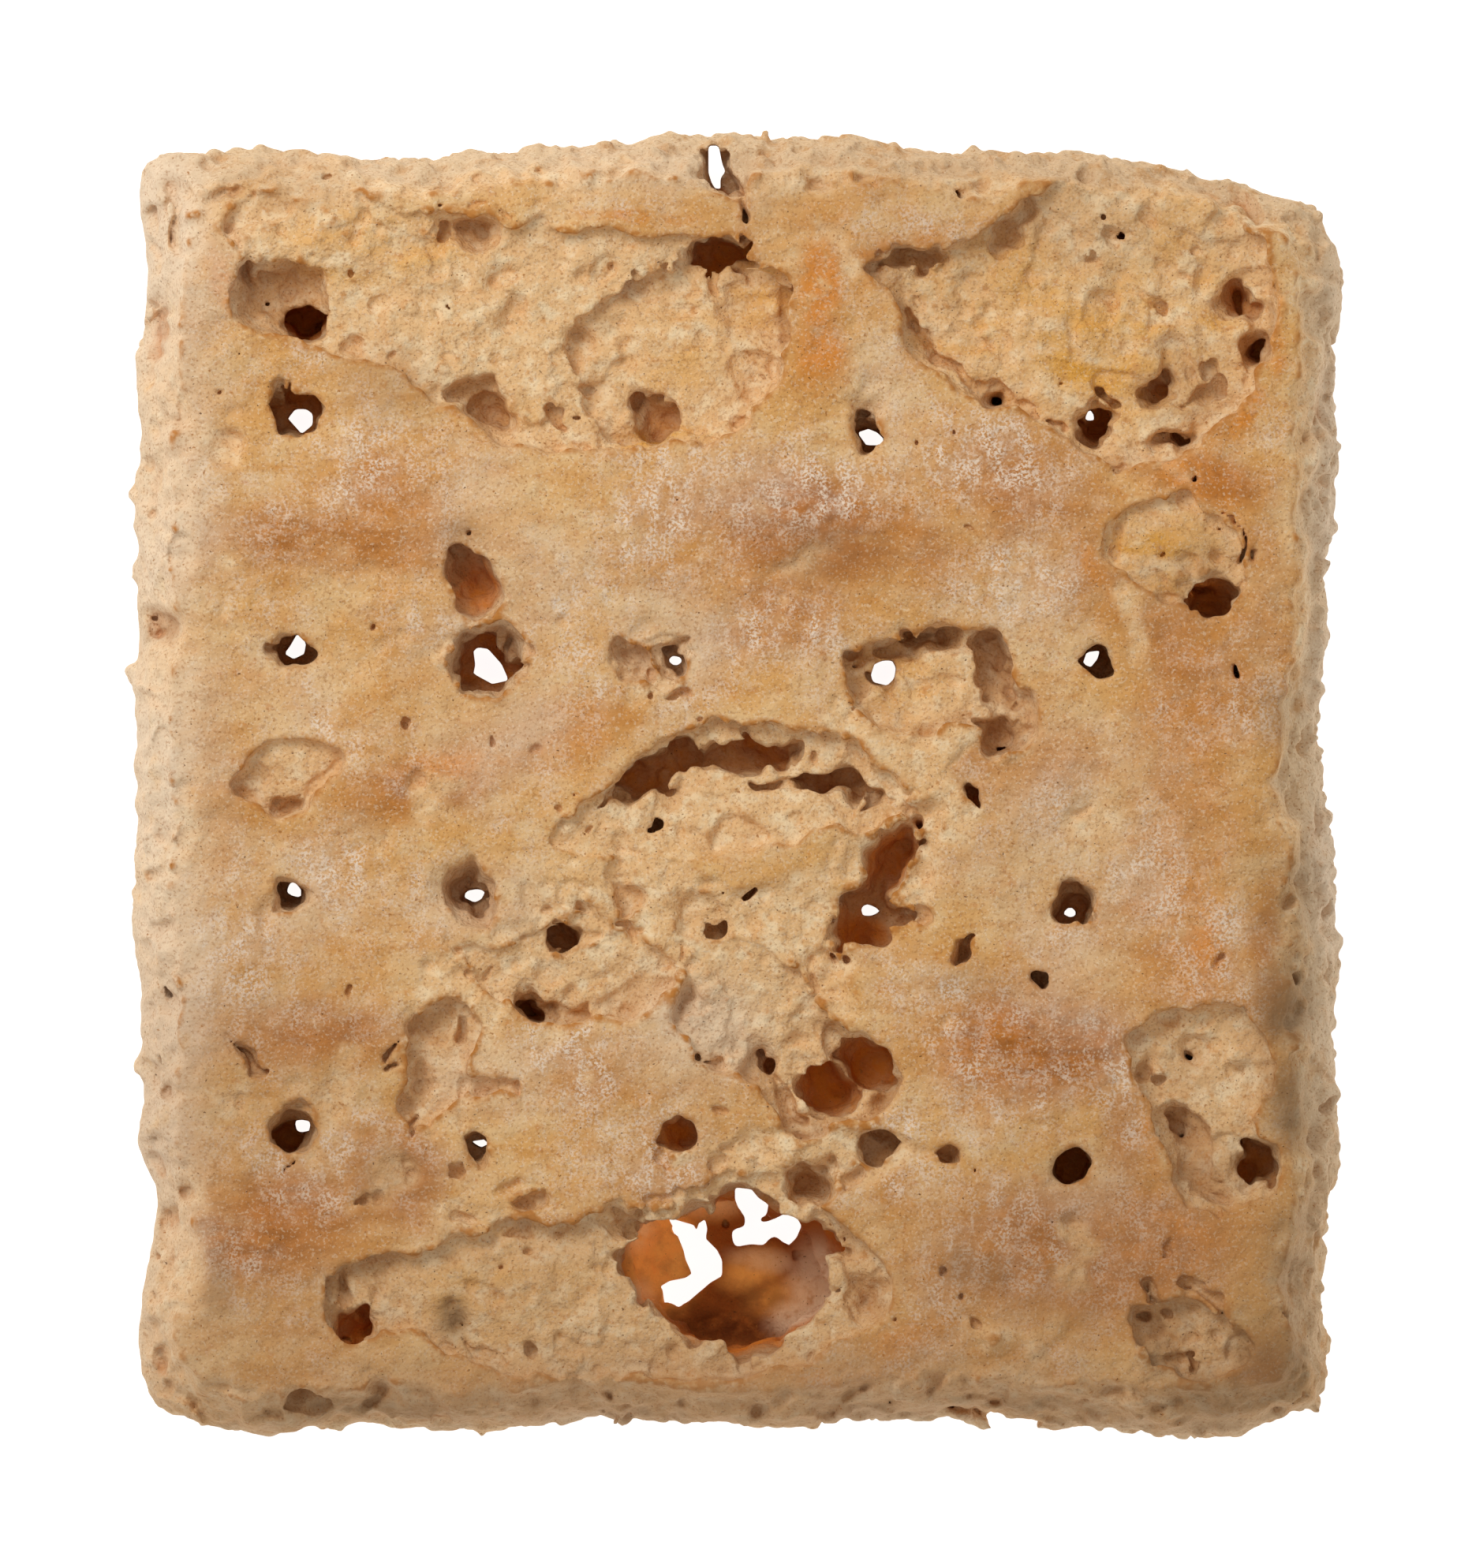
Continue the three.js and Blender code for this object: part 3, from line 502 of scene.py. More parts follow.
# %% Pits
# Depth and slope in mm, then the outline in plan.
PITS = (
    # far left patch
    (1.9, 1.0, ((-30.6, 31.4), (-30.1, 31.9), (-28.9, 31.2), (-27, 31.2), (-25.1, 31), (-24.5, 29.8),
                (-24.4, 28.2), (-24.6, 27.6), (-26.2, 27.1), (-27, 27.5), (-28.6, 27.8), (-29.6, 29.2),
                (-30.3, 30.6))),
    (5.5, 0.3, ((-27.5, 28.2), (-26.5, 28.6), (-26.1, 29), (-25.7, 29.3), (-25.3, 29), (-24.8, 28.9),
                (-24.7, 28.4), (-25.1, 28), (-25, 27.5), (-25.6, 27.3), (-26.2, 27.1), (-26.7, 27.3),
                (-26.9, 27.7), (-27.3, 27.8))),
    (1.3, 0.6, ((-16.5, 34), (-16.2, 34.3), (-15.6, 33.9), (-14.1, 33.7), (-14.8, 33), (-15.4, 32.4),
                (-16, 32.6))),
    (1.2, 0.3, ((-18.4, 35), (-17.7, 35), (-17.8, 34.7), (-18.3, 34.7))),
    (0.8, 0.4, ((-21.5, 26.1), (-20.8, 26.1), (-20.9, 25.6), (-21.4, 25.4))),
    (2.0, 0.9, ((-17.5, 24), (-16.3, 24.7), (-15, 24.9), (-14.1, 24.7), (-13.9, 22.4), (-14.4, 21.7),
                (-14.9, 20.9), (-15.3, 21.4), (-16.5, 22.7), (-17.2, 23.2))),
    (3.0, 0.4, ((-2.8, 31), (-2, 32.1), (-1.5, 32.2), (-0.8, 32.7), (-0.1, 32.2), (0.1, 32), (0.6, 32.3),
                (0.75, 33.3), (1, 33.4), (1.4, 33.1), (1.5, 32.5), (1.8, 32), (0.5, 31.9), (-0.6, 31),
                (-1.6, 30.7))),
    (1.3, 0.5, ((-11.4, 22.8), (-11, 23.4), (-10.3, 23.6), (-9.9, 23.2), (-10, 21.3), (-10.4, 21.1),
                (-10.9, 21.6))),
    (2.4, 1.2, ((-6.2, 23.2), (-5.6, 23.6), (-5, 23), (-4, 22.9), (-3.2, 22.4), (-3, 21.4), (-3.8, 21.1),
                (-4.4, 20.6), (-5, 20.4), (-5.7, 21.1), (-6, 21.8))),
    # far rim
    (1.5, 0.8, ((-20.4, 36.6), (-20, 36.1), (-19.3, 36.1), (-18.6, 35.9), (-17.2, 36.2), (-16.2, 36.9),
                (-16.6, 38.2), (-20.4, 38.4))),
    (0.8, 0.5, ((-13.2, 36.4), (-12.6, 36), (-12, 36.1), (-11.9, 36.9), (-12.8, 37.2))),
    (6.0, 0.4, ((-1.8, 38.4), (-1.75, 36.1), (-1.5, 35.75), (-0.6, 35.6), (0.1, 36), (0, 36.6), (-0.5, 37.4),
                (-0.3, 38.4))),
    (0.9, 0.8, ((0.1, 36), (1.3, 36.6), (1, 37.6), (-0.2, 38.2), (0, 36.6))),
    (1.0, 0.5, ((4.3, 37), (4.4, 36.5), (4.9, 36.1), (5.3, 36.4), (5.7, 36.8), (5, 37.1))),
    (0.7, 0.5, ((6.9, 36.6), (7.2, 36.1), (8.2, 36), (8.2, 36.8))),
    (1.5, 0.2, ((12.8, 36.2), (13.4, 36.2), (13.2, 35.9), (12.9, 35.9))),
    (1.7, 0.6, ((26.9, 36.4), (27.2, 36), (28, 35.6), (29, 35.1), (29.6, 34.6), (30.2, 34.3), (31.1, 33.9),
                (31.5, 34.7), (31.7, 35.4), (30.6, 36.6), (28.6, 37.6), (27.2, 37.6))),
    # far right patch
    (0.9, 0.5, ((8, 32.6), (9.5, 32.5), (10.3, 32.1), (9.6, 31.9), (8.2, 31.9))),
    (1.0, 0.5, ((13, 32.5), (13.6, 33.1), (14.2, 33.4), (14.9, 33.5), (15.3, 33.2), (14.9, 32.4), (14, 32))),
    (1.0, 0.6, ((15.2, 33.7), (16.4, 34.3), (17.3, 34.7), (17.6, 35.3), (18.2, 35.2), (18.3, 34), (17.4, 33),
                (17.9, 32.7), (16.8, 32.1), (15.3, 32.1))),
    (0.5, 0.5, ((23.2, 35), (23.2, 36), (24.2, 36.2), (24.8, 35.4), (24.9, 34.6))),
    (1.0, 0.6, ((21.6, 33), (22, 33.6), (22.8, 33.8), (23.4, 33.4), (23.3, 32.6), (22.8, 32.2), (22, 32.3))),
    (2.8, 0.2, ((23.2, 32.9), (23.4, 33.4), (23.7, 33.3), (23.7, 32.9), (23.4, 32.5))),
    (4.0, 0.2, ((29.6, 29), (29.9, 29.4), (30.3, 29.5), (30.7, 29.1), (30.6, 28.5), (30.2, 28.2),
                (29.8, 28.3), (29.6, 28.6))),
    (3.0, 0.3, ((31.1, 26.4), (31.4, 27), (31.7, 27.3), (31.8, 26.8), (31.7, 26.1), (31.4, 25.8),
                (31, 25.9))),
    (3.0, 0.6, ((24.8, 23.7), (25.2, 24.2), (25.9, 24.2), (26.4, 23.9), (26.5, 23.4), (26, 23.1),
                (25.3, 23.1))),
    (1.2, 0.7, ((27.3, 24.3), (28.2, 24.1), (29, 23.6), (29.7, 23.4), (29, 23), (28.8, 22.4), (28.2, 22.6),
                (27.4, 22.6), (26.6, 22.2), (26.5, 22.8), (27.2, 23.4))),
    (2.6, 0.3, ((25, 21.6), (25.4, 21.2), (26, 21.1), (26.3, 20.5), (26.9, 20.3), (27.4, 20.4), (27.7, 20.8),
                (26.9, 20.9), (26.4, 21.2), (25.9, 21.4))),
    (4.5, 0.5, ((19.8, 22.5), (20, 22), (20.3, 21.5), (21, 21.1), (21.9, 21), (22.4, 21.2), (22.6, 21.8),
                (22.5, 22.4), (22, 22.9), (21.6, 23.1), (21.3, 22.9), (21.1, 22.0), (20.5, 22.2))),
    (4.5, 0.2, ((14.4, 23.8), (14.9, 24.3), (15.3, 24.2), (15.6, 23.6), (16.1, 23.2), (16, 22.6),
                (15.6, 22.8), (15, 23.2), (14.8, 23.6))),
    (1.2, 0.2, ((22.5, 19.8), (23, 19.8), (23.1, 19.6), (22.7, 19.6))),
    (1.8, 0.2, ((26.8, 18.2), (27.4, 18.5), (27.5, 18.1), (27.1, 18))),
    (1.0, 0.4, ((9.8, 28.4), (10.8, 26.2), (13.2, 24.0), (14.4, 23.2), (17, 22.2), (19.8, 20.9), (20, 21.5),
                (17.2, 22.9), (14.6, 24), (13.5, 24.8), (11.4, 26.8), (10.4, 28.4))),
    # mouths of the pin holes, row by row
    (4.6, 0.4, ((-28.1, 22.6), (-27.7, 23), (-27, 23), (-26.9, 23.6), (-26.6, 23.9), (-26, 23.6), (-25.6, 23),
                (-25.6, 22), (-25.8, 21.5), (-26.3, 21.1), (-27, 21.2), (-27.6, 21.2), (-27.8, 21.9))),
    (1.2, 0.5, ((-27.9, 23.2), (-27.5, 23.8), (-27, 23.9), (-26.8, 23.4), (-27.2, 22.9), (-27.8, 22.9))),
    (3.0, 0.5, ((7.2, 21.8), (7.6, 22.3), (8.2, 22.2), (8.9, 21.3), (9, 20.8), (8.6, 20.5), (7.9, 20.5),
                (7.3, 21))),
    (1.6, 0.6, ((-28.6, 7.9), (-28.3, 8.6), (-27.6, 8.5), (-27.2, 8.8), (-26.8, 8.6), (-27, 7.8),
                (-27.3, 7.4), (-27.9, 7.3), (-28.4, 7.5))),
    (3.8, 0.5, ((-27.2, 8), (-26.8, 9), (-26.3, 9.3), (-25.6, 9.2), (-25.3, 8.7), (-25.3, 8), (-25.8, 7.5),
                (-26.4, 7.4), (-26.9, 7), (-27.3, 7.4))),
    (1.0, 0.8, ((-17.3, 7), (-17.2, 7.9), (-16.8, 8.8), (-16.2, 9.5), (-15.4, 9.9), (-14, 9.7), (-13.3, 9.6),
                (-12.6, 8.4), (-12.6, 7.6), (-13.2, 7.2), (-15, 6))),
    (4.2, 0.9, ((-17.1, 7), (-17, 7.9), (-16.6, 8.8), (-15.6, 9.6), (-14.6, 9.3), (-14.2, 8.4), (-13.8, 7.7),
                (-12.5, 7.1), (-12.8, 6.5), (-13.6, 6), (-14.6, 5.4), (-15.2, 5.5), (-16, 5.8),
                (-16.9, 6.2))),
    (1.0, 0.9, ((-7.3, 8.3), (-6.9, 8.8), (-6.3, 8.9), (-5.6, 8.6), (-5.3, 8), (-5.2, 7.2), (-5.8, 6.4),
                (-6.6, 6.2), (-7.2, 6.8), (-7.2, 7.6))),
    (1.0, 0.8, ((-4.8, 8.2), (-4, 8.7), (-2.6, 9.1), (-2.9, 8.4), (-3.3, 7.9), (-3.1, 7.3), (-3.5, 6.4),
                (-4.3, 6.9), (-4.7, 7.5))),
    (0.9, 0.4, ((-4, 5.1), (-3.9, 5.6), (-3.3, 5.9), (-2.8, 5.8), (-2.6, 5.4), (-3.4, 5.2))),
    (3.8, 0.4, ((21, 7.2), (21.1, 6.8), (21.4, 6.3), (21.9, 6.3), (22.6, 6.5), (22.9, 7), (22.9, 7.8),
                (22.5, 8.1), (21.9, 8.1), (21.4, 8.2), (21.1, 7.9))),
    (3.0, 0.2, ((30.1, 6.8), (30.3, 7.1), (30.7, 7.2), (30.8, 6.8), (30.7, 6.4), (30.3, 6.3))),
    (3.8, 0.4, ((-28, -6.2), (-27.6, -5.6), (-27.2, -5.6), (-26.8, -6), (-26.3, -6.3), (-26.3, -6.8),
                (-26.4, -7.4), (-26.9, -7.6), (-27.2, -7), (-27.8, -6.8))),
    (1.4, 0.5, ((-28.1, -7.9), (-27.9, -7.1), (-27, -7.1), (-26.4, -7.2), (-26.5, -7.6), (-27.3, -7.9))),
    (2.5, 0.5, ((-16.6, -7.8), (-15.9, -7.2), (-15, -6.7), (-15.2, -6.1), (-16.1, -6.3), (-16.5, -6.9))),
    (3.8, 0.7, ((19.3, -6.9), (19.5, -6.4), (20.1, -6.2), (20.8, -6.4), (21.3, -7), (21.6, -8), (21.9, -8.4),
                (21, -8.7), (20.2, -8.7), (19.8, -8.5), (19.7, -8), (19.5, -7.8))),
    (3.8, 0.4, ((-27.8, -21), (-27.1, -20.4), (-26.6, -20), (-25.8, -20.1), (-25.7, -20.9), (-25.8, -21.7),
                (-26.3, -22.1), (-26.8, -22.4), (-27.3, -22.1), (-27.8, -21.8))),
    (1.3, 0.5, ((-26.9, -20.2), (-26.6, -19.4), (-25.9, -19.2), (-25.4, -19.5), (-25.4, -20.1),
                (-26, -20.1))),
    (1.6, 0.2, ((-27, -23.3), (-26.5, -23), (-26.5, -23.3), (-26.9, -23.7))),
    (1.6, 0.8, ((-16.1, -21.4), (-15.2, -21.3), (-14.9, -21.8), (-15.1, -22.6), (-15.4, -23.2),
                (-15.9, -23.2), (-16.1, -22.4))),
    (2.6, 0.5, ((-4.8, -21.4), (-4.2, -20.6), (-4.2, -20.1), (-3.8, -20.1), (-3.2, -20.5), (-2.5, -20.6),
                (-2.3, -21), (-2.7, -21.6), (-3.6, -21.9), (-4.3, -22), (-4.8, -22))),
    (0.7, 0.5, ((-5, -22.2), (-3.8, -22), (-4, -23), (-4.2, -23.4), (-4.8, -22.9))),
    (1.6, 0.5, ((7.5, -21.6), (7.9, -21.1), (8.4, -20.9), (8.9, -21.2), (9.5, -21.2), (9.6, -21.9),
                (9.3, -22.5), (8.6, -22.7), (8, -22.4), (7.5, -22.1))),
    # above the second row
    (1.5, 1.3, ((-17.6, 12.6), (-17.5, 13.4), (-17.1, 13.9), (-16.6, 14.1), (-15.7, 13.8), (-15.2, 13.8),
                (-14.8, 13.3), (-14.3, 12.8), (-14.1, 12.2), (-14.3, 10.6), (-14.6, 10.2), (-15.2, 10),
                (-15.6, 10.6), (-16, 11.1), (-17, 11.9))),
    (2.4, 0.2, ((-16.4, 14.9), (-15.8, 15.3), (-15.7, 15.1), (-16.2, 14.7))),
    (3.6, 0.2, ((27.4, 12), (28.3, 12), (28.7, 11.8), (29, 11.4), (29.2, 11.2), (29.3, 10.8), (29.6, 11.1),
                (29.9, 11.2), (30, 10.9), (29.9, 10.7), (29.4, 10.7), (29.1, 10.5), (28.7, 10.4),
                (28.4, 10.6), (28, 10.8), (27.7, 10.6), (27.5, 10.3), (27.2, 10.1), (26.9, 10.3),
                (26.9, 10.7), (27.4, 11.1), (27.5, 11.6))),
    # round the pillow
    (2.3, 0.6, ((6, 8.3), (6.4, 8.8), (7, 9), (8, 8.9), (8.6, 8.8), (9.4, 9.2), (10, 9.6), (10.7, 9.6),
                (11.1, 9.9), (12, 9.9), (12.5, 9.8), (12.5, 9.2), (12, 8.8), (11.2, 9), (10.6, 9.2),
                (10.2, 8.9), (9.9, 8.2), (9.9, 7.6), (8.9, 7.4), (8.5, 7.9), (7.5, 8.1))),
    (1.2, 1.2, ((6.1, 8.3), (6.2, 6.2), (6.6, 5.2), (7.2, 5.2), (8.6, 5.8), (9.7, 6.2), (9.9, 7.6),
                (9, 8.6))),
    (1.4, 1.2, ((14.3, 8.9), (15, 9.3), (15.8, 8.6), (16.5, 7.4), (16.7, 6.2), (16.5, 5.5), (15.6, 5.6),
                (14.6, 5.6), (14.2, 6.8), (14.2, 8))),
    (1.5, 0.8, ((14.6, 3.9), (15.4, 4.2), (16.4, 4), (17.1, 3.9), (17.3, 2.7), (17, 2.2), (16.6, 1.7),
                (16.1, 1.6), (15.7, 2), (15.1, 2.2), (14.8, 2.8))),
    (3.0, 0.3, ((15, 2.4), (15.6, 2.1), (16.1, 1.5), (16.9, 2), (17.2, 2.8), (16.6, 2.4), (16, 2.2))),
    (2.2, 0.5, ((13.4, -0.1), (13.9, 0.1), (14.6, 0.1), (14.8, -0.2), (14.8, -1.6), (14.5, -2.1),
                (14.1, -1.8), (13.4, -1.3), (13, -1), (13.4, -0.6))),
    # the long gaps across the middle
    (3.2, 0.5, ((-7.6, 0.2), (-7, 0.6), (-6.5, 1.1), (-6.1, 1.4), (-5.6, 1.1), (-5, 1), (-4.6, 1.5),
                (-4.1, 1.9), (-3.9, 2.6), (-3.5, 3.1), (-2.8, 3.1), (-2.5, 2.4), (-2.2, 1.9), (-1.7, 1.4),
                (-1, 1.8), (-0.6, 2.5), (-0.2, 2.6), (0.3, 2.4), (0.8, 3), (1.3, 3.1), (2, 2.9), (2.5, 2.4),
                (2.9, 1.6), (2.9, 1.3), (2, 1.1), (1, 1.1), (0.2, 0.8), (-0.3, 0.7), (-0.8, 0.9), (-1.4, 1),
                (-2.2, 0.9), (-3, 0.6), (-3.5, 0.2), (-3.7, -0.2), (-4, -0.6), (-4.5, -0.6), (-4.9, -0.3),
                (-5.8, -0.5), (-6.4, -0.2), (-7, 0))),
    (1.2, 0.5, ((2.3, 3), (3.2, 3.1), (4.1, 2.7), (4.3, 2), (4.1, 1.2), (3.7, 0.8), (3.3, 1.2), (2.9, 1.6),
                (2.8, 2.3))),
    (3.0, 0.3, ((3.4, 0), (4.2, 0.4), (5.2, 0.4), (5.6, 0.4), (5.8, 0), (6.3, 0), (6.8, 0.3), (7.3, 0.2),
                (7.9, -0.1), (9, 0), (9.7, 0), (10, -0.3), (9.7, -0.5), (8.6, -0.4), (7.4, -0.4), (7.3, -0.9),
                (6.9, -0.8), (6.6, -0.4), (6.1, -0.5), (5.9, -0.9), (5.5, -1), (4.9, -0.7), (4.3, -0.5),
                (3.9, -0.3))),
    (1.2, 0.4, ((8.8, 0.9), (9.2, 1.1), (9.8, 0.8), (10.2, 0.3), (9.9, 0), (9.4, 0.1))),
    (1.0, 0.4, ((-8.6, -1.4), (-8.1, -0.6), (-7.4, 0), (-7.2, -0.6), (-8, -1.5))),
    (3.0, 0.2, ((-5.2, -2.6), (-4.9, -2.1), (-4.5, -2.2), (-4.1, -2.6), (-4.3, -3), (-5, -2.9))),
    # the pit in the shape of a boot, and those round it
    (4.2, 0.7, ((8.7, -3.5), (9, -3), (9.7, -2.9), (10.2, -3.1), (10.6, -3.6), (10.6, -4.3), (10.1, -4.9),
                (10.1, -5.8), (9.4, -6.1), (9, -6.6), (9.6, -7.3), (10.3, -7.4), (10.7, -7.8), (10.4, -8.2),
                (9.4, -8.5), (8.6, -9.1), (8.2, -9.7), (8.1, -10.2), (7.6, -10.3), (7, -10), (6.3, -9.6),
                (5.9, -9), (6.4, -8.2), (6.6, -7.3), (6.2, -7), (6.3, -6.5), (7, -6.4), (7.6, -6.1),
                (8, -5.2), (8.3, -4.4))),
    (1.0, 0.4, ((10.7, -7.3), (11.3, -7.4), (11.7, -7.9), (11.4, -8.6), (10.9, -8.6), (10.5, -8.2))),
    (1.9, 0.7, ((13, -9.1), (14.4, -8.5), (14.9, -8.6), (14.5, -9.6), (14.3, -10.6), (13.7, -10.8),
                (13.4, -11.1), (13, -10.6), (12.9, -9.8))),
    (2.5, 0.2, ((18, -11.6), (18.3, -11.3), (18.9, -11.4), (19, -11.8), (18.5, -12.3), (18.1, -12))),
    # between the third and fourth rows, on the left
    (1.8, 0.9, ((-28.6, -1.7), (-27.7, -1.6), (-26.9, -0.9), (-26, -0.2), (-25.9, -0.9), (-26.3, -1.7),
                (-27.2, -2.1), (-28.1, -2))),
    (1.8, 0.3, ((-30.5, -15.3), (-29.9, -15.5), (-29.2, -16), (-28.9, -16.4), (-27.8, -16.9), (-27.7, -17.2),
                (-28.7, -17.3), (-29.2, -17.4), (-29.6, -16.8))),
    (1.0, 0.2, ((-21.7, -15.7), (-21, -15.1), (-20.3, -15.1), (-20.8, -15.4), (-21.3, -15.9), (-21.3, -16.4),
                (-21.7, -16.1))),
    (1.0, 0.2, ((-21.7, -16.8), (-21.3, -16.3), (-20.7, -16.3), (-20.4, -16.8), (-20.9, -16.7),
                (-21.4, -16.9))),
    (1.1, 0.3, ((-20, -20.3), (-19.6, -19.4), (-19.1, -19.5), (-19.2, -20.3), (-19.6, -20.8), (-19.6, -21.4),
                (-19.9, -21.5))),
    (1.0, 0.4, ((-17.1, -13.5), (-16.6, -14.2), (-16.2, -15.1), (-16.2, -15.6), (-16.8, -15.6),
                (-17.1, -14.6))),
    (0.8, 0.5, ((-16.7, -17.3), (-15.9, -17.5), (-14.9, -17.4), (-13.4, -17.4), (-12.9, -17.6),
                (-12.7, -18.2), (-13, -18.6), (-14.4, -18.2), (-16, -18.6), (-16.6, -18.2))),
    (4.0, 0.2, ((-11.7, -9), (-11.2, -8.7), (-10.2, -8.7), (-10, -9), (-9.9, -9.5), (-10.6, -9.6),
                (-11.3, -9.4))),
    (1.0, 0.3, ((-11.5, -8.7), (-10.9, -8.1), (-10.2, -8.3), (-10, -8.8))),
    (4.0, 0.2, ((-13.3, -13.1), (-12.8, -12.9), (-12.2, -13), (-11.7, -13.4), (-11.3, -13.8), (-12, -13.8),
                (-12.7, -13.5))),
    (1.0, 0.2, ((-12.8, -13), (-12.5, -12.4), (-12, -12.4), (-11.9, -13))),
    (0.9, 0.4, ((-11.8, -13.3), (-10, -13), (-9.2, -13), (-9.1, -13.9), (-9.6, -14.1), (-11, -14))),
    (1.3, 0.7, ((-7.1, -6.3), (-6.6, -5.9), (-5.8, -5.9), (-5.4, -6.3), (-5.3, -7), (-5.8, -7.6),
                (-6.4, -8.2), (-7.2, -8.2), (-7.6, -7.4))),
    (0.7, 0.3, ((-10, -7.2), (-9.5, -6.9), (-8.8, -7.1), (-8.8, -7.6), (-9.5, -7.6))),
    (0.7, 0.3, ((-12.2, -7.9), (-11.8, -7.3), (-11.1, -7.3), (-11.3, -7.8), (-11.9, -8))),
    (2.4, 0.4, ((-1.7, -8.7), (-1.3, -8.2), (-0.7, -8), (-0.4, -8.4), (-0.4, -9), (-0.7, -9.4), (-1.2, -9.5),
                (-1.6, -9.2))),
    (2.0, 0.3, ((0.9, -5.7), (1.2, -5.5), (1.5, -5.8), (1.2, -6.1), (1.1, -6.8), (0.9, -7), (0.1, -7.1),
                (0, -6.8), (0.5, -6.3))),
    # between the third and fourth rows, on the right
    (1.0, 0.3, ((-2.9, -15.3), (-2.4, -15.4), (-2.2, -16.1), (-1.6, -16.4), (-1.1, -16.9), (-1, -17.4),
                (-1.6, -16.7), (-2.4, -16.4), (-2.8, -15.9))),
    (1.2, 0.7, ((0.8, -17), (1.6, -18), (1.9, -19.2), (2.6, -20.5), (3.6, -20.7), (4.5, -20.5), (4.3, -19.8),
                (3.6, -19.4), (3.2, -18.2), (2.6, -17.4), (1.6, -17))),
    (3.6, 0.6, ((4.4, -17.4), (4.7, -16.9), (5.2, -16.4), (5.6, -16.5), (5.9, -17), (5.9, -17.6),
                (6.5, -17.8), (7.1, -17.9), (7.4, -18.2), (7, -18.9), (6.5, -19.3), (6.1, -19.7),
                (5.6, -19.6), (5, -19.7), (4.6, -19.3), (4.3, -18.7), (4.5, -18))),
    (4.0, 0.4, ((7.1, -17.3), (7.4, -16.5), (7.9, -16), (8.6, -15.8), (9.3, -15.8), (9.4, -16.3),
                (9.6, -16.8), (9.5, -17.8), (8.6, -17.6), (7.6, -17.9))),
    (1.0, 0.3, ((7, -17.8), (9.5, -17.6), (9.4, -18.3), (8.6, -18.4), (7.6, -18.3))),
    (1.8, 0.5, ((11.6, -22.2), (11.9, -21.7), (12.4, -21.6), (12.9, -21.9), (13.3, -22.4), (13.2, -23.2),
                (12.6, -23.4), (12.1, -23.2), (11.9, -22.6))),
    (0.6, 0.3, ((13.4, -23.4), (14, -23.1), (14.3, -23.5), (13.8, -23.9))),
    (4.0, 0.4, ((19.3, -22.4), (20, -21.9), (20.6, -21.9), (21, -22.2), (21.2, -22.7), (20.9, -23.4),
                (20.4, -23.7), (19.8, -23.6), (19.3, -23.1))),
    (0.8, 0.4, ((24, -17.2), (24.6, -16.4), (25.1, -17), (25.3, -18), (24.9, -18.2), (24.2, -18))),
    (2.6, 0.6, ((29.9, -21.4), (30.3, -21.2), (30.8, -21.1), (31.3, -21.5), (31.7, -22), (32, -22.5),
                (31.9, -24), (31.7, -24.8), (31.3, -24.9), (31.1, -24.2), (30.8, -23.7), (30.4, -23.7),
                (30.3, -23), (30.2, -22.2))),
    (1.0, 0.3, ((26, -20.9), (26.1, -20.2), (26.6, -20), (26.8, -20.6))),
    (1.3, 1.0, ((26.2, -19.4), (27.3, -19.6), (28, -21.5), (28.6, -23), (29.6, -24.6), (28.8, -26),
                (27.4, -25.4), (26.5, -23.6), (26.1, -21.4))),
    (1.2, 0.2, ((30.4, -13.7), (30.5, -13.4), (30.9, -13.5), (30.9, -13.8))),
    # round the largest bubble
    (2.0, 0.9, ((3.4, -24.2), (4.3, -23.5), (5.2, -23.1), (5.9, -23.2), (6.3, -23.7), (6.3, -24.4),
                (5.9, -25), (5.6, -25.3), (4.8, -25), (4, -24.9))),
    (1.2, 0.4, ((7, -23.6), (7.6, -23), (7.9, -23.3), (7.9, -24), (7.5, -24.6), (6.9, -24.8), (6.8, -24.3))),
    (0.8, 0.3, ((-1.3, -23.8), (-0.9, -23.2), (-0.3, -23.5), (0.4, -23.8), (-0.4, -24.2))),
    (0.7, 0.3, ((6.6, -30.6), (7, -30), (7.6, -30.4), (7.9, -31), (7.2, -31.2))),
    # near left patch
    (1.8, 0.6, ((-24.6, -32.3), (-24.2, -31.7), (-23.6, -31.7), (-23.2, -32), (-22.8, -31.9), (-22.5, -31.6),
                (-21.9, -31.5), (-21.6, -32), (-21.5, -32.9), (-21.9, -33.6), (-22.4, -34), (-23, -34.2),
                (-23.5, -33.9), (-24, -33.6), (-24.4, -33.4), (-24.5, -32.9))),
    (2.8, 0.5, ((-23.4, -32.1), (-22.8, -31.9), (-22.5, -31.6), (-21.9, -31.5), (-21.6, -32), (-21.5, -32.9),
                (-21.9, -33.6), (-22.4, -34), (-23, -34.1), (-23.3, -33))),
    (0.8, 0.6, ((-24.2, -30), (-23.8, -29.4), (-23.2, -30), (-23, -30.6), (-23.3, -31.8), (-24, -31.6))),
    (3.0, 0.1, ((-17.3, -32), (-17, -31.8), (-16.7, -32.1), (-16.9, -32.3), (-17.2, -32.2))),
    (0.9, 0.5, ((-19, -32.9), (-18.1, -32.7), (-18, -33.3), (-18.6, -33.4), (-18.9, -33.2))),
    (0.9, 0.9, ((-18, -33.2), (-16.6, -33.2), (-14, -34.4), (-14, -35), (-15.6, -34.9), (-16.2, -34.4),
                (-17, -33.7))),
    (1.1, 0.4, ((-13.9, -25.4), (-13.2, -25.2), (-12.4, -25), (-11.6, -24.6), (-11.6, -25.2), (-12.4, -25.5),
                (-13, -26), (-13.6, -25.8))),
    (0.8, 0.6, ((-14.8, -27.8), (-14, -27), (-13.2, -26.7), (-12.6, -26.9), (-12.6, -27.4), (-14, -27.8))),
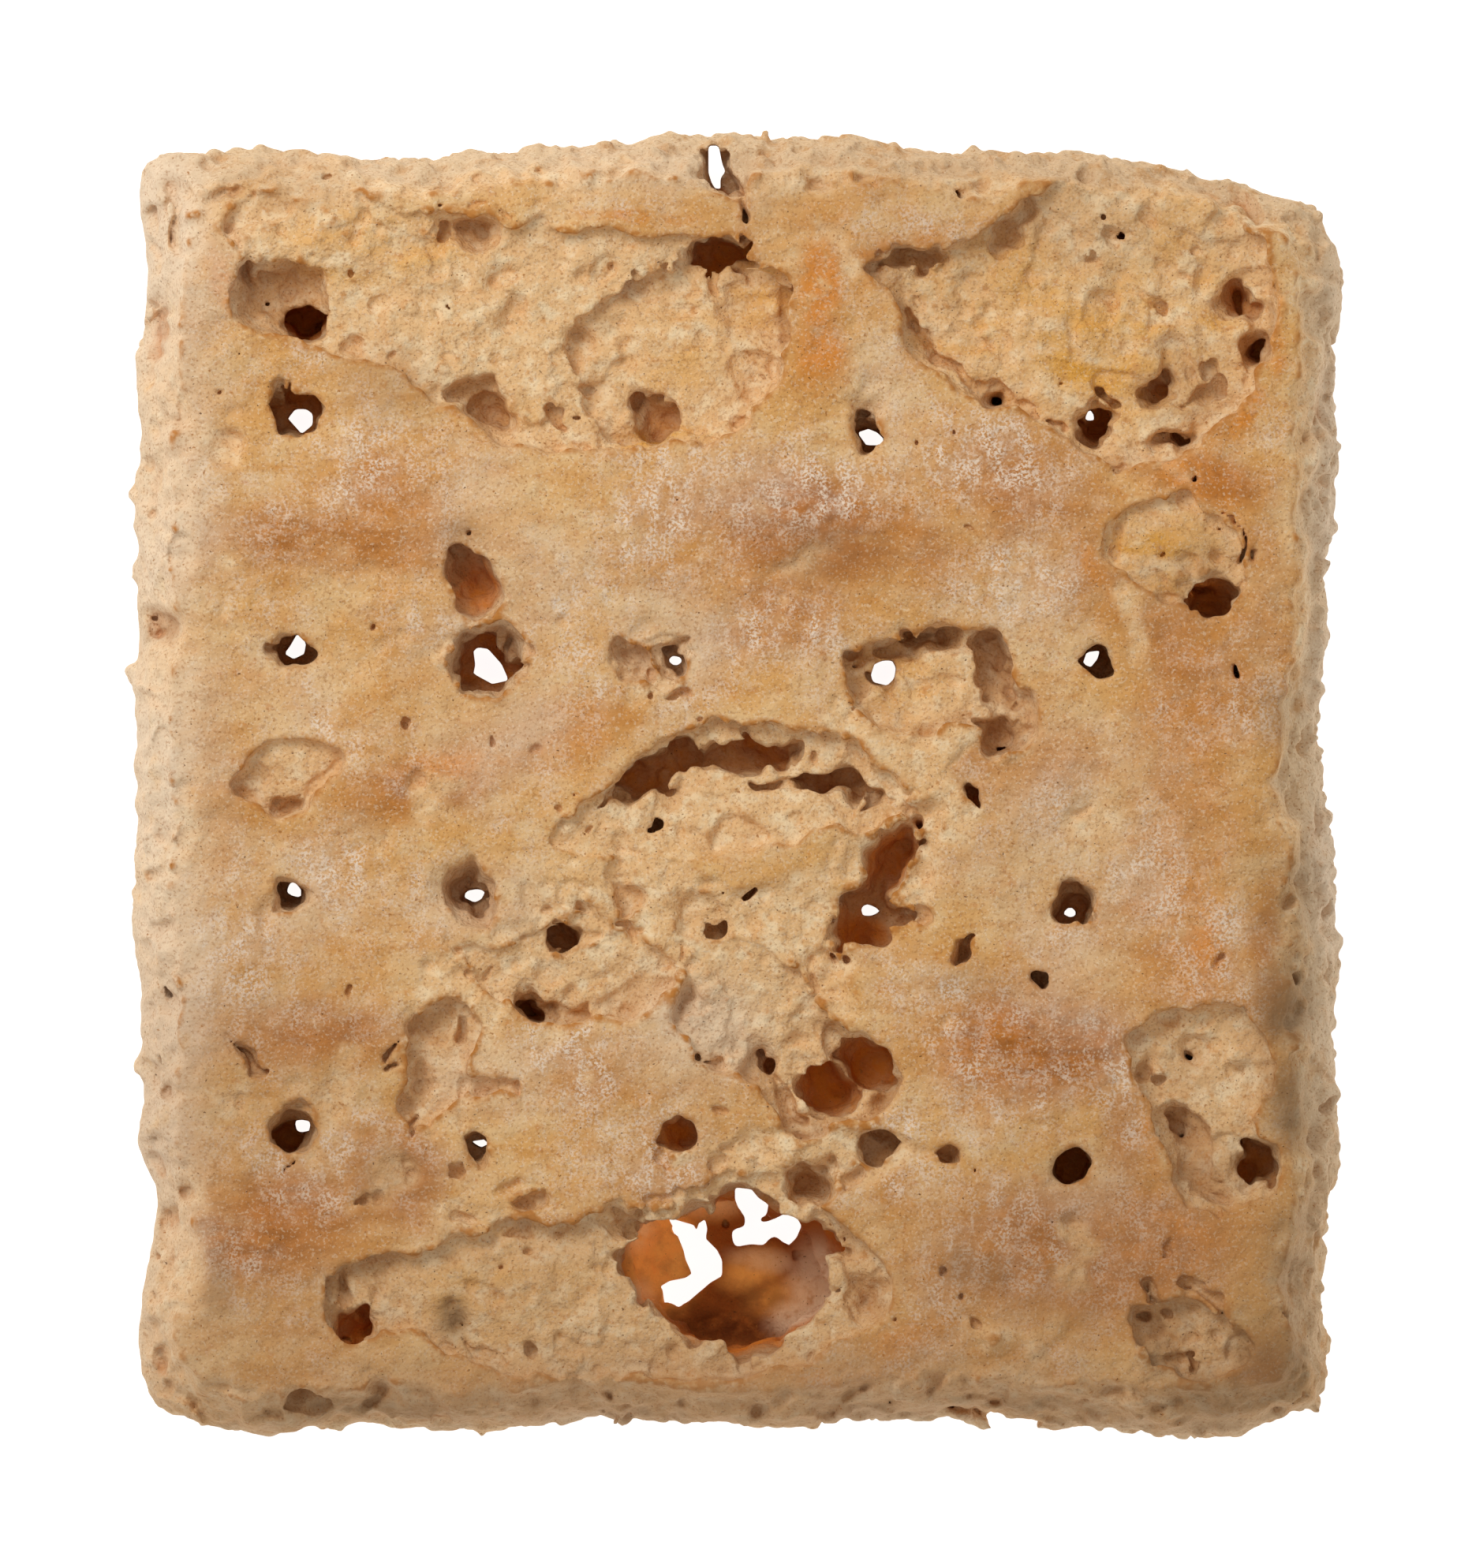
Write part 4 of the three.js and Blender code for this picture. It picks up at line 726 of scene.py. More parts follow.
    (0.7, 0.5, ((-17.6, -26.5), (-17.2, -25.4), (-16.6, -25.6), (-16, -26.2), (-16.8, -26.4))),
    (0.9, 0.4, ((-17.6, -23.1), (-16.4, -23.1), (-16.4, -23.7), (-16.9, -24.2), (-17.3, -23.8))),
    # near rim and the last patch
    (1.0, 0.5, ((-27.6, -36.9), (-26, -36.7), (-25, -36.9), (-24.5, -37.5), (-23.8, -38), (-25, -38.2),
                (-27.4, -37.8))),
    (0.8, 0.3, ((-16.4, -37.2), (-15.9, -37.2), (-15.7, -38), (-16.4, -38.2))),
    (1.0, 0.3, ((28.8, -31.8), (29.2, -31.9), (29.3, -32.3), (28.9, -32.4))),
    (0.9, 0.5, ((24.2, -32.2), (25.2, -32), (25.2, -32.8), (24.8, -33.2), (24.4, -32.8))),
    (0.6, 0.4, ((29.5, -32.9), (30.3, -32.8), (31.1, -33.1), (31.1, -33.9), (30.2, -33.7))),
)
for depth, slope, outline in PITS:
    cut_pit(depth, slope, outline)
print("pits:", len(PITS))

# %% Cracks
# The line in plan, the width at the top and the depth, in mm.
CRACKS = (
    (((0.5, 36.1), (0.8, 35.2), (0.9, 34.2)), 0.36, 1.6),
    (((24.8, -29.9), (25.2, -30.5), (25.6, -31.5)), 0.28, 1.5),
    (((27.2, -30.0), (28.2, -30.4), (28.7, -31.1), (29.2, -32.0)), 0.24, 1.4),
    (((-16.7, -8.8), (-15.8, -8.9), (-15.0, -8.9)), 0.18, 0.8),
    (((-14.8, -9.1), (-13.0, -9.2), (-11.7, -9.4)), 0.14, 0.5),
    (((-9.9, -9.4), (-9.4, -9.6)), 0.14, 0.5),
    (((-7.2, -8.6), (-6.5, -8.6), (-5.8, -8.9)), 0.22, 0.8),
    (((0.8, 0.4), (1.3, 0.0), (2.9, -0.1), (3.5, 0.0)), 0.15, 0.9),
    (((10.1, 0.2), (12.5, 0.2)), 0.12, 0.4),
    (((28.9, 16.6), (29.7, 16.2), (30.1, 15.8), (30.3, 14.8), (30.5, 13.8), (30.3, 13.1)), 0.18, 1.0),
    (((31.0, 13.5), (30.8, 12.8)), 0.22, 0.8),
    (((32.3, 31.8), (32.5, 30.6), (32.5, 29.4), (32.2, 28.2)), 0.15, 0.6),
    (((22.9, 10.1), (22.4, 9.6)), 0.18, 0.4),
    (((-17.6, -29.6), (-15.4, -29.7)), 0.15, 0.5),
    (((-14.6, -30.1), (-14.0, -30.7)), 0.16, 0.5),
    (((-16.0, 35.0), (-14.2, 34.6), (-13.0, 34.1)), 0.15, 0.4),
    (((16.0, 23.1), (17.6, 22.7), (19.6, 22.1)), 0.14, 0.5),
)
CRACK_EASE = 0.10  # mm wider, so that the finest still show in lines of this grid
for points, width, depth in CRACKS:
    cut_crack(points, width + CRACK_EASE, depth)
print("cracks:", len(CRACKS))

# %% Bubbles by the dice
# Small pits in the crumb, holes of all sizes in the rim, and in the crust only a few pricks.
CRUMB_BUBBLES, RIM_BUBBLES, RIGHT_BUBBLES, PRICKS = 120, 50, 90, 40
DICE_SEED = 7
dice = np.random.default_rng(DICE_SEED)
height = top_of(field)


def scatter(share, count, sizes, depths):
    """Cuts count bubbles where share is high; their depth is a range of shares of their half size."""
    weights = np.clip(share * covered, 0, 1).ravel()
    chosen = dice.choice(weights.size, count, p=weights / weights.sum())
    for place in chosen:
        i, j = divmod(int(place), share.shape[1])
        along, across = dice.uniform(*sizes, 2)
        depth = min(along, across) * dice.uniform(*depths)
        cut_bubble(xs[i], ys[j], along, across, dice.uniform(0, 180), depth)


quiet = np.maximum(smoothstep(plan_x, -31.0, -34.0), smoothstep(plan_y, -35.0, -37.0))
scatter(rough, CRUMB_BUBBLES, (0.18, 0.42), (1.0, 2.2))
scatter((1 - inland) * (1 - 0.85 * quiet), RIM_BUBBLES, (0.20, 0.45), (0.8, 1.4))
scatter((1 - inland) * smoothstep(plan_x, 33.0, 35.0), RIGHT_BUBBLES, (0.35, 0.90), (0.6, 1.0))
scatter(inland * (1 - rough), PRICKS, (0.15, 0.28), (1.5, 3.0))
print("bubbles by the dice:", CRUMB_BUBBLES + RIM_BUBBLES + RIGHT_BUBBLES + PRICKS)

# %% [markdown]
# ## Lumps and grain
#
# Crust swells gently over centimetres. Crumb is sandy: soft lumps of a millimetre or two carry a fine,
# sharp grain. The rim was cut and then rose in the oven, so it is lumpy all over, mostly inwards.

# %% Lumps
CRUST_SWELL = ((9.0, 0.10), (3.4, 0.05), (1.4, 0.030), (0.7, 0.030), (0.36, 0.026))  # size and height, mm
CRUMB_LUMPS = ((3.4, 0.10), (1.6, 0.075), (0.8, 0.06), (0.42, 0.05))
WALLS_ROUGHER = 0.8  # share by which crumb is lumpier down the walls of a tear
RIM_LUMPS = ((5.0, 0.05), (2.2, 0.04), (1.1, 0.04), (0.6, 0.04), (0.36, 0.04))
LEFT_CALM, SIDES_ROUGHER = 0.45, 1.3  # shares by which the left rim is smoother and the others rougher
RIM_HELD_IN = 0.18  # the rim's lumps stand this much further in, mm
RIM_STEP, RIGHT_STEP = 0.10, 0.45  # mm that the top steps down where the crust ends, and more on the right

skin_relief = sum(
    h * lumps(size, 10 + i, field.shape[:2])[:, :, None] for i, (size, h) in enumerate(CRUST_SWELL)
)
above_table = smoothstep(zs, 0.2, 1.4)
field += skin_relief * (1 - crumb) * (1 - rim)
crumb_relief = sum(h * lumps(size, 20 + i) for i, (size, h) in enumerate(CRUMB_LUMPS))
crumb_relief *= 1 + WALLS_ROUGHER * smoothstep(below_crust, 1.0, 3.0)
field += crumb_relief * crumb * (1 - rim) * above_table
del crumb_relief
rim_relief = sum(h * lumps((size, size, 1.4 * size), 30 + i) for i, (size, h) in enumerate(RIM_LUMPS))
rough_sides = np.maximum(smoothstep(plan_x, 33.0, 35.5), 0.7 * smoothstep(np.abs(plan_y), 35.5, 37.5))
left = smoothstep(plan_x, -31.0, -34.0)
rim_relief *= 1 - LEFT_CALM * left[:, :, None] + SIDES_ROUGHER * rough_sides[:, :, None]
field += (rim_relief + RIM_HELD_IN) * rim * above_table
rim_step = RIM_STEP + RIGHT_STEP * smoothstep(plan_x, 28.0, 33.0)[:, :, None]
field += (rim_step * rim * smoothstep(zs, 7.0, 9.0)).astype(np.float32)
del rim_relief
print("field after lumps:", field.min().round(2), field.max().round(2))

# %% [markdown]
# ## Straight through
#
# A few holes go right through to the table: what is left open of the pin holes, a notch in the far rim, and
# two windows in the thin skin under the largest bubble. Light comes up only where nothing stands in the way,
# so these are cut last, straight down and just as wide as the light that is seen through them.

# %% Shafts
SHAFTS = (
    ((-27, 22.1), (-26.6, 22.6), (-26, 22.6), (-25.6, 22.3), (-25.6, 21.7), (-26.2, 21.2)),
    ((7.4, 21.2), (8, 21.4), (8.5, 21.2), (8.9, 20.8), (8.6, 20.5), (7.9, 20.5)),
    ((21.1, 22), (21.3, 22.5), (21.5, 22.5), (21.6, 22)),
    ((-26.5, 9), (-26, 8.5), (-26.1, 7.9), (-26.7, 7.6), (-27.2, 7.9), (-26.9, 8.3)),
    ((-15.8, 8), (-15.6, 8.2), (-15, 8.1), (-14.2, 7.2), (-13.8, 6.3), (-14.7, 6.1), (-15.8, 6.7),
     (-15.7, 7.2)),
    ((-4, 7.5), (-3.8, 7.7), (-3.4, 7.6), (-3.3, 7.4), (-3.6, 7.2), (-3.9, 7.3)),
    ((8.2, 6.6), (8.4, 7.2), (8.9, 7.4), (9.4, 7.4), (9.6, 7), (9.5, 6.4), (9.1, 6), (8.3, 6.2)),
    ((21, 7.3), (21.2, 7.9), (21.9, 8), (21.8, 7.6), (21.4, 7.1)),
    ((-27.1, -6.5), (-26.9, -6), (-26.6, -6), (-26.3, -6.4), (-26.3, -6.8), (-26.8, -6.7)),
    ((-16.4, -6.8), (-16.2, -6.5), (-15.6, -6.4), (-15.2, -6.5), (-15.4, -6.9), (-15.8, -7.1)),
    ((7.6, -7.5), (7.9, -7.3), (8.4, -7.5), (8.6, -7.7), (8.2, -7.9), (7.7, -7.9)),
    ((19.8, -7.8), (20.1, -7.5), (20.4, -7.6), (20.5, -7.9), (20.2, -8)),
    ((-26.6, -20.4), (-26.2, -20.3), (-25.7, -20.4), (-25.8, -20.9), (-26.3, -21), (-26.5, -20.9)),
    ((-15.9, -21.6), (-15.2, -21.5), (-15, -21.7), (-15.4, -21.9)),
    ((-1.6, 38.5), (-1.6, 36.9), (-1.4, 36.3), (-1.2, 36), (-1, 36), (-1, 36.6), (-0.7, 37), (-0.9, 37.5),
     (-1.1, 38.5)),
    ((0, -24.4), (0.9, -24.5), (1.3, -25.0), (1.9, -25.4), (1.8, -26), (1.3, -26.3), (1.6, -26.6),
     (2.2, -26.4), (3, -26), (3.6, -26.2), (3.9, -26.7), (3.6, -27.4), (3.2, -27.8), (2.8, -27.6),
     (2.4, -27.2), (1.6, -27.7), (0.6, -27.8), (0.1, -27.9), (0, -27.1), (0.6, -26.7), (0.6, -26),
     (0.2, -25.6), (0, -25.1)),
    ((-4, -26.3), (-3, -26.6), (-2.6, -26.7), (-2.4, -27.2), (-2.2, -26.6), (-1.9, -26.4), (-1.8, -26.9),
     (-1.9, -27.5), (-1.2, -28.2), (-0.9, -28.8), (-0.9, -29.7), (-1.6, -30.1), (-2.3, -30.7), (-3, -31.3),
     (-4, -31.3), (-4.1, -30.9), (-4.5, -30.4), (-4, -30.1), (-3, -29.9), (-2.6, -29.6), (-3, -28.7),
     (-3.1, -28.2), (-3.5, -27.2)),
)
SHAFT_EASE = 0.06  # mm that each is wider than drawn, for what the rounding of the surface takes back
for outline in SHAFTS:
    corners = np.array(outline)
    middle = (corners.min(axis=0) + corners.max(axis=0)) / 2
    reach = np.ptp(corners, axis=0) / 2 + 0.6
    part, x, y, z = window_round((*middle, zs[-1] / 2), (*reach, zs[-1] / 2 + 1))
    straight_x, straight_y = x - shifts[0][part], y - shifts[1][part]
    inward = inside_of(corners, straight_x[:, :, :1], straight_y[:, :, :1])
    field[part] = np.maximum(field[part], inward + SHAFT_EASE)
print("shafts:", len(SHAFTS))

# %% [markdown]
# ## Back to a mesh
#
# The zero level of the field becomes a mesh of small quads. The table cuts the underside flat. Crumbs that
# came loose in the cutting are dropped: only the largest part that hangs together stays.

# %% Mesh
field = np.maximum(field, -zs)
dough_grid = openvdb.FloatGrid(BAND * VOXEL)
dough_grid.transform = grid_lines
dough_grid.gridClass = openvdb.GridClass.LEVEL_SET
dough_grid.copyFromArray(field, ijk=first.tolist())
points, _, quads = dough_grid.convertToPolygons(isovalue=0.0, adaptivity=0.0)
quads = quads[:, ::-1].astype(np.int64)


def parts_of(count, faces):
    """A number for each vertex that is the same all over one connected part."""
    label = np.arange(count)
    ends = np.concatenate([faces[:, [0, 1]], faces[:, [1, 2]], faces[:, [2, 3]]])
    while True:
        lowest = np.minimum(label[ends[:, 0]], label[ends[:, 1]])
        new = label.copy()
        np.minimum.at(new, ends[:, 0], lowest)
        np.minimum.at(new, ends[:, 1], lowest)
        new = new[new[new]]
        if (new == label).all():
            return label
        label = new


labels = parts_of(len(points), quads)
names, sizes = np.unique(labels, return_counts=True)
kept_vertices = labels == names[sizes.argmax()]
new_number = np.cumsum(kept_vertices) - 1
quads = new_number[quads[kept_vertices[quads[:, 0]]]]
points = points[kept_vertices]
print("mesh:", len(points), "points,", len(quads), "quads; loose crumbs dropped:", len(names) - 1)

mesh = bpy.data.meshes.new("hardtack")
mesh.vertices.add(len(points))
mesh.vertices.foreach_set("co", (points * MM).astype(np.float32).ravel())
mesh.loops.add(quads.size)
mesh.loops.foreach_set("vertex_index", quads.ravel().astype(np.int32))
mesh.polygons.add(len(quads))
mesh.polygons.foreach_set("loop_start", np.arange(0, quads.size, 4, dtype=np.int32))
mesh.polygons.foreach_set("use_smooth", np.ones(len(quads), bool))
mesh.update(calc_edges=True)
mesh.validate()
hardtack = bpy.data.objects.new("hardtack", mesh)
bpy.context.scene.collection.objects.link(hardtack)
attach(hardtack, "root")
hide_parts("biscuit")

# %% [markdown]
# ## Where it browned, and where the flour lies
#
# The oven touched the high places: the ridges between the rows of pins and a few thin blisters went brown.
# Flour from the board stayed on the crust in patches, and the dough is greyer along one side, where damp
# got to it. Light and shade are painted into some of these values: painted shade darkens the near side and
# the lower right, where the lamp's light falls off, and the pits, the deepest most, which are painted
# red-brown with a painted warm glow; painted light brightens the right rim; and the thin skin under the
# largest bubble gets painted light, painted shadow and a painted glow. Each of these is a value at every
# vertex, from 0 to 1, and the material reads them by name.

# %% Sampling


def at_points(values):
    """Reads a field or a plan map at the mesh's points."""
    return read(values, [points[:, axis] / VOXEL - first[axis] for axis in range(values.ndim)])


def spots(table):
    """Oval spots in plan, read at the mesh's points."""
    return ovals(table, points[:, 0], points[:, 1])


def widest(heights, reach, pick):
    """The highest or lowest value within a reach, in grid steps along x and y, of each place in plan."""
    for axis in (0, 1):
        heights = pick.reduce([np.roll(heights, step, axis) for step in range(-reach, reach + 1)])
    return heights


def keep(name, values):
    """Stores a value from 0 to 1 at each vertex, for the material to read by name."""
    layer = mesh.attributes.new(name, "FLOAT", "POINT")
    layer.data.foreach_set("value", np.clip(values, 0, 1).astype(np.float32))
    print(f"{name}: mean {float(np.clip(values, 0, 1).mean()):.3f}")


# %% Values for the material
LID_REACH = 15  # grid steps: pits up to twice this wide are covered

broad_noise = at_points(lumps(7.0, 49, field.shape[:2]))
crust_noise = at_points(lumps(2.6, 50, field.shape[:2]))
fine_noise = at_points(lumps(1.0, 51, field.shape[:2]))
crumb_here = at_points(crumb)
rim_here = at_points((1 - inland).astype(np.float32))
dough = (field < 0).astype(np.float32)
dough_near = blurred(dough, 0.8)
filled_close = at_points(blurred(dough, 0.3))
depth_here = at_points(crust_level.astype(np.float32)) - points[:, 2]
lid = widest(widest(top_of(field), LID_REACH, np.maximum), LID_REACH, np.minimum)  # covers every pit
below_lid = at_points(lid.astype(np.float32)) - points[:, 2]
on_top = smoothstep(points[:, 2], 6.5, 9.0)
crust_here = (1 - crumb_here) * on_top

# Each row is an oval: x, y, half sizes, turn in degrees and strength.
TOASTED = (
    (4.5, 15.2, 11, 4.6, -6, 0.95), (6.8, 13.9, 5, 2.4, -6, 1.2), (-3, 13.4, 6, 2.6, 0, 0.45),
    (18, 17.5, 8, 5, -16, 0.75), (-24, 14.6, 9, 2.6, -2, 0.65), (-19.5, -0.4, 5.5, 2.6, 8, 0.95),
    (-12, 3.0, 9, 2.6, 12, 0.5), (18, -16, 9.5, 4.2, 6, 0.85), (-25.5, -15.2, 7, 2.4, 0, 0.7),
    (-27.5, -26.4, 9, 3.8, 4, 0.95), (-17, -24, 5, 3, 30, 0.3), (21, -28, 15, 5.2, 2, 1.0),
    (33, -10, 3, 6, 0, 0.8), (26, -8, 6, 5, 0, 0.35), (27.5, 18.4, 6, 2.0, -14, 1.0), (17, 2, 8, 3, 0, 0.3),
    (-15.5, 24.0, 7, 1.4, -24, 0.8), (32, -36, 4, 3, 0, 0.7), (2.2, 9.4, 5, 2.4, 0, 0.45),
    (31, 12, 3.6, 5, 0, 0.4), (23.6, -21, 2, 4, 0, 0.8), (14, -33.6, 9, 3, 0, 0.4), (-9, -17, 4, 3, 0, 0.4),
    (5.2, 26.0, 2.0, 3.4, 0, 0.4), (22, 22, 8, 1.2, -20, 0.6), (9, 31.9, 5, 0.8, 10, 0.7),
    (-24, 9, 5, 3, 0, 0.25), (-31, -2, 3, 6, 0, 0.3), (10, -27, 3, 4, 0, 0.4), (-21, 17.4, 4, 3, 0, 0.6),
    (-20.5, -24, 4, 4, 0, 1.0), (27.5, 2, 4.5, 16, 0, 0.5), (27, -11.5, 5, 3.4, 0, 0.8),
    (27.5, 23.5, 4, 4, 0, 0.6), (3.4, 11.4, 5, 3, 0, 0.7), (21.5, 12.6, 3, 4, 0, 0.7), (28, 13, 4, 6, 0, 0.5),
    (27, 24, 4, 3, 0, 0.3), (-21, 5, 3, 7, 0, 0.3),
)
# Paler spots of the dough's own colour; the long one down the right rim, at x 36.4, is painted light, which
# brightens the flank that faces away from the lamp.
PALE_AND_PAINTED_LIGHT_SPOTS = (
    (-36, 0, 5.4, 46, 0, 1.1), (-35, 33, 6, 8, 0, 1.0), (-15, 6, 4, 7, 0, 0.5), (21, -3, 8, 8, 0, 0.25),
    (-14, 37, 20, 2.4, 0, 0.3), (-4, 9, 4, 4, 0, 0.5), (0, -38, 40, 3, 0, 0.25), (36.4, 4, 2.4, 36, 0, 0.9),
    (-13, 14, 6, 7, 0, 0.4), (-13, 4, 3.5, 2.6, 12, 0.6), (-27, 6.5, 4, 4, 0, 0.3),
    (-27, -6.5, 4, 4, 0, 0.3), (21, -12, 4, 4, 0, 0.4), (18, 8, 4, 9, 0, 0.3), (-3, -15, 5, 4, 0, 0.7),
    (-15, -7, 4, 3, 0, 0.5), (-15, -18, 4, 3, 0, 0.5), (15, -6, 4, 3, 0, 0.4), (-33, -33, 3, 5, 0, 0.5),
    (21, -24, 3, 3, 0, 0.4), (9, 22, 3, 5, 0, 0.3), (0, 18, 4, 3, 0, 0.3),
)
FLOURED = (
    (-4, 16, 7, 4.5, 0, 0.95), (15, 20, 8, 3.6, -10, 1.0), (-22, 20, 7, 4, -24, 0.7),
    (-2, 20, 9, 2.5, 0, 0.8), (-9, 10, 5, 5, 0, 0.8), (24, -5, 8, 6, 0, 0.6), (28, -10, 5, 6, 0, 0.8),
    (15, -19, 7, 5, 0, 0.6), (9, -22, 5, 4, 0, 0.8), (24, -19, 3, 4, 0, 0.9), (-22, -6, 7, 4, 0, 0.5),
    (-30, -10, 4, 7, 0, 0.5), (-28, 9, 5, 5, 0, 0.4), (3.4, 10, 5, 3, 0, 0.9), (18, 12, 7, 4, 0, 0.8),
    (-25, -23, 7, 4, 0, 0.7), (16, -27, 9, 5, 0, 0.65), (-20, 10, 6, 3, 0, 0.5), (12, -4, 5, 4, 0, 0.4),
    (28, 3, 6, 6, 0, 0.35), (-9.5, -17, 4.5, 4, 0, 1.0), (-8, -22, 6, 3, 0, 0.7), (20, 8, 4, 4, 0, 0.5),
    (12, -14, 4, 4, 0, 0.6), (-24, 1, 6, 4, 0, 0.4), (12, 33.6, 6, 1.4, 0, 0.6), (-8, 35.0, 5, 1.2, -6, 0.5),
    (6, 18, 7, 3, 0, 0.9),
)
GREYED = (
    (33.6, -7, 3.0, 4, 0, 0.6), (33.2, -13.4, 2.2, 3.6, 0, 1.0), (33.4, -19, 1.8, 4.5, 0, 0.7),
    (34, -25, 1.4, 3, 0, 0.3), (33.4, -28.6, 2.4, 4.4, 0, 1.1), (32.8, -34, 3.6, 5, 0, 0.75),
    (29, -37.0, 5, 2.2, 0, 0.65), (14, -12, 3, 1.4, 0, 0.25), (-22, -38, 8, 1.6, 0, 0.4),
    (13.5, -29, 1.4, 1.6, 0, 0.45), (32.5, 4, 1.5, 3, 0, 0.35), (17, -38, 6, 1.4, 0, 0.5),
    (-17.2, -32.2, 1.3, 1.6, 0, 0.7), (-16.4, 15.3, 1.6, 1.0, 0, 0.35), (15.4, -29.6, 1.6, 1.2, 0, 0.4),
    (25.6, -34.4, 1.4, 1.8, 0, 0.5), (-31.2, -30.6, 1.2, 3, 0, 0.3),
)
AMBER = (
    (5.0, 30.0, 1.8, 3.8, 0, 1.0), (4.9, 25.6, 2.2, 2.6, 0, 0.9), (4.6, 34.2, 2.6, 1.2, 0, 0.6),
    (2.0, 26.1, 1.2, 0.9, 0, 1.0), (-31.1, 30.6, 0.8, 2.4, 20, 1.3), (-26.6, 33.6, 3.6, 0.9, -6, 0.75),
    (25.0, -21.5, 0.6, 3.6, 8, 0.8), (27.4, 19.0, 4.5, 0.7, -12, 0.9), (32.6, 27.0, 0.7, 4.4, 0, 0.7),
    (30.6, 22.2, 0.8, 2.4, -34, 0.9), (-6.6, 34.2, 5, 0.5, -3, 0.7), (11, 33.0, 5, 0.6, 12, 0.5),
    (21.8, 12.6, 0.7, 3.0, 30, 0.7), (-13, -36.4, 6, 0.9, 0, 0.4), (4, -35.6, 6, 0.9, 0, 0.5),
    (10, -33.4, 3, 1.2, 20, 0.6), (26.0, 15.0, 3.6, 2.0, 0, 0.5), (-17, 1.0, 3.6, 1.2, 6, 0.8),
    (-26.6, 0.9, 3.2, 1.3, 6, 0.7), (-35.8, 14, 0.6, 14, 0, 0.4), (-36, -14, 0.6, 12, 0, 0.4),
    (-8.0, -34.6, 9, 0.4, 0, 0.5), (27.5, -4, 3.4, 18, 0, 0.28), (27.5, 20, 4, 15, 0, 0.55),
    (-9, 2, 5, 4, 0, 0.25), (28.2, -9.6, 1.5, 2.2, 0, 0.8), (27.2, -26.8, 3, 0.7, -24, 0.8),
    (24.2, -7.4, 1.0, 0.8, 0, 0.6), (15, -17, 4, 4, 0, 0.35), (22, -29, 9, 5, 0, 0.3),
    (-21, -24, 3, 4, 0, 0.35), (-21, 15, 3, 6, 0, 0.3), (8, 31, 3, 3, 0, 0.4), (3, 12, 7, 3, 0, 0.3),
)
YELLOWED = (
    (20, 28, 11, 7, 0, 1.0), (26, 27.6, 4, 3, 0, 1.2), (-22, 32.4, 6, 2.4, 0, 0.9),
    (-4.6, 20.8, 4, 1.0, 0, 0.8), (-12, 22, 3, 1.6, 0, 0.6), (25.5, 14.2, 4, 3.2, 0, 1.5),
    (27, 30, 4, 7, 0, 0.6), (2, 30, 4, 4, 0, 0.5), (-13, -31, 9, 3, 0, 0.4), (10.6, 6.4, 4, 3, 0, 0.4),
    (-10, -5, 4, 2, 0, 0.4), (-15, -24, 2, 4, 0, 0.3), (-3.8, 26, 4, 4, 0, 0.35),
)
# Painted shade: spots that darken the near side and the lower right, where the lamp's light falls off.
PAINTED_SHADE_SPOTS = (
    (24, -30, 20, 12, 0, 0.75), (-26, -34, 14, 10, 0, 0.65), (0, -37.5, 60, 6, 0, 1.0),
    (32, -16, 2.5, 16, 0, 0.4), (-21, -24, 4, 3.4, 0, 0.9), (-21, 24, 3.5, 3, 0, 0.6),
    (27, 12.5, 4, 4, 0, 0.5), (27, 24, 3.5, 3, 0, 0.5), (27, -18, 3, 3, 0, 0.4), (28, -24, 5, 4, 0, 0.8),
    (-6, -32, 40, 9, 0, 0.5), (5.5, 14, 5, 2.6, -6, 0.7), (20, -31, 6, 3.4, 0, 1.0),
    (-29, -19, 11, 12, 0, 0.55), (14, 35, 22, 6, 0, 0.40), (-14, -30.5, 9, 5, 0, 0.6),
    (-27, 36, 5, 2, 0, 0.5), (18, -36, 6, 2, 0, 0.4), (0, -35.6, 60, 3, 0, 0.75),
)
PIT_FLOOR_PAINTED_SHADE = (  # pits whose floor is painted red-brown, as painted shade with a painted warm glow
    (-15.5, 11.6, 1.8, 2.4, 0, 1.0), (-3.6, -21.1, 1.3, 1.3, 0, 1.2), (9.4, -4.2, 2.0, 3.2, -20, 1.0),
    (7.2, -9.0, 2.4, 1.8, 0, 1.2), (-22.6, -33.0, 2.0, 2.2, 0, 1.0), (28.2, 11.4, 1.8, 1.3, 0, 1.2),
    (14.1, -1.0, 1.3, 1.4, 0, 0.8), (0.9, -5.9, 1.2, 1.2, 0, 1.0),
)
# The thin skin that the largest bubble left on the table: where painted light stands for light coming through
# it, where painted shadow darkens it, and where it is a milky film.
BURST = ((-0.2, -28.6, 9, 8, 0, 1.5),)
PAINTED_LIGHT_SPOTS = ((-4.6, -28.2, 2.6, 4.0, 0, 1.3), (0.9, -29.4, 2.2, 1.4, 20, 1.0), (-1.6, -25.4, 3.0, 1.2, 10, 0.7),
       (2.6, -31.0, 2.4, 1.4, 10, 0.6))
PAINTED_SHADOW_SPOTS = ((-0.4, -32.8, 4.4, 1.6, -6, 1.0), (-2.4, -24.6, 2.8, 0.8, 20, 0.8), (1.0, -31.2, 3.4, 1.2, 0, 0.7))
MILKY = ((5.0, -30.2, 2.0, 3.0, 0, 1.4), (3.6, -32.2, 2.0, 1.2, 20, 1.3), (1.8, -28.8, 2.6, 0.8, -8, 0.9),
         (3.8, -25.2, 1.6, 1.2, 0, 0.8), (-6.2, -26.6, 1.4, 1.8, 0, 1.3), (-4.8, -25.6, 1.6, 0.8, 20, 1.0),
         (-5.8, -31.0, 1.0, 1.2, 0, 0.8), (-1.5, -25.4, 2.4, 0.9, 0, 0.6))

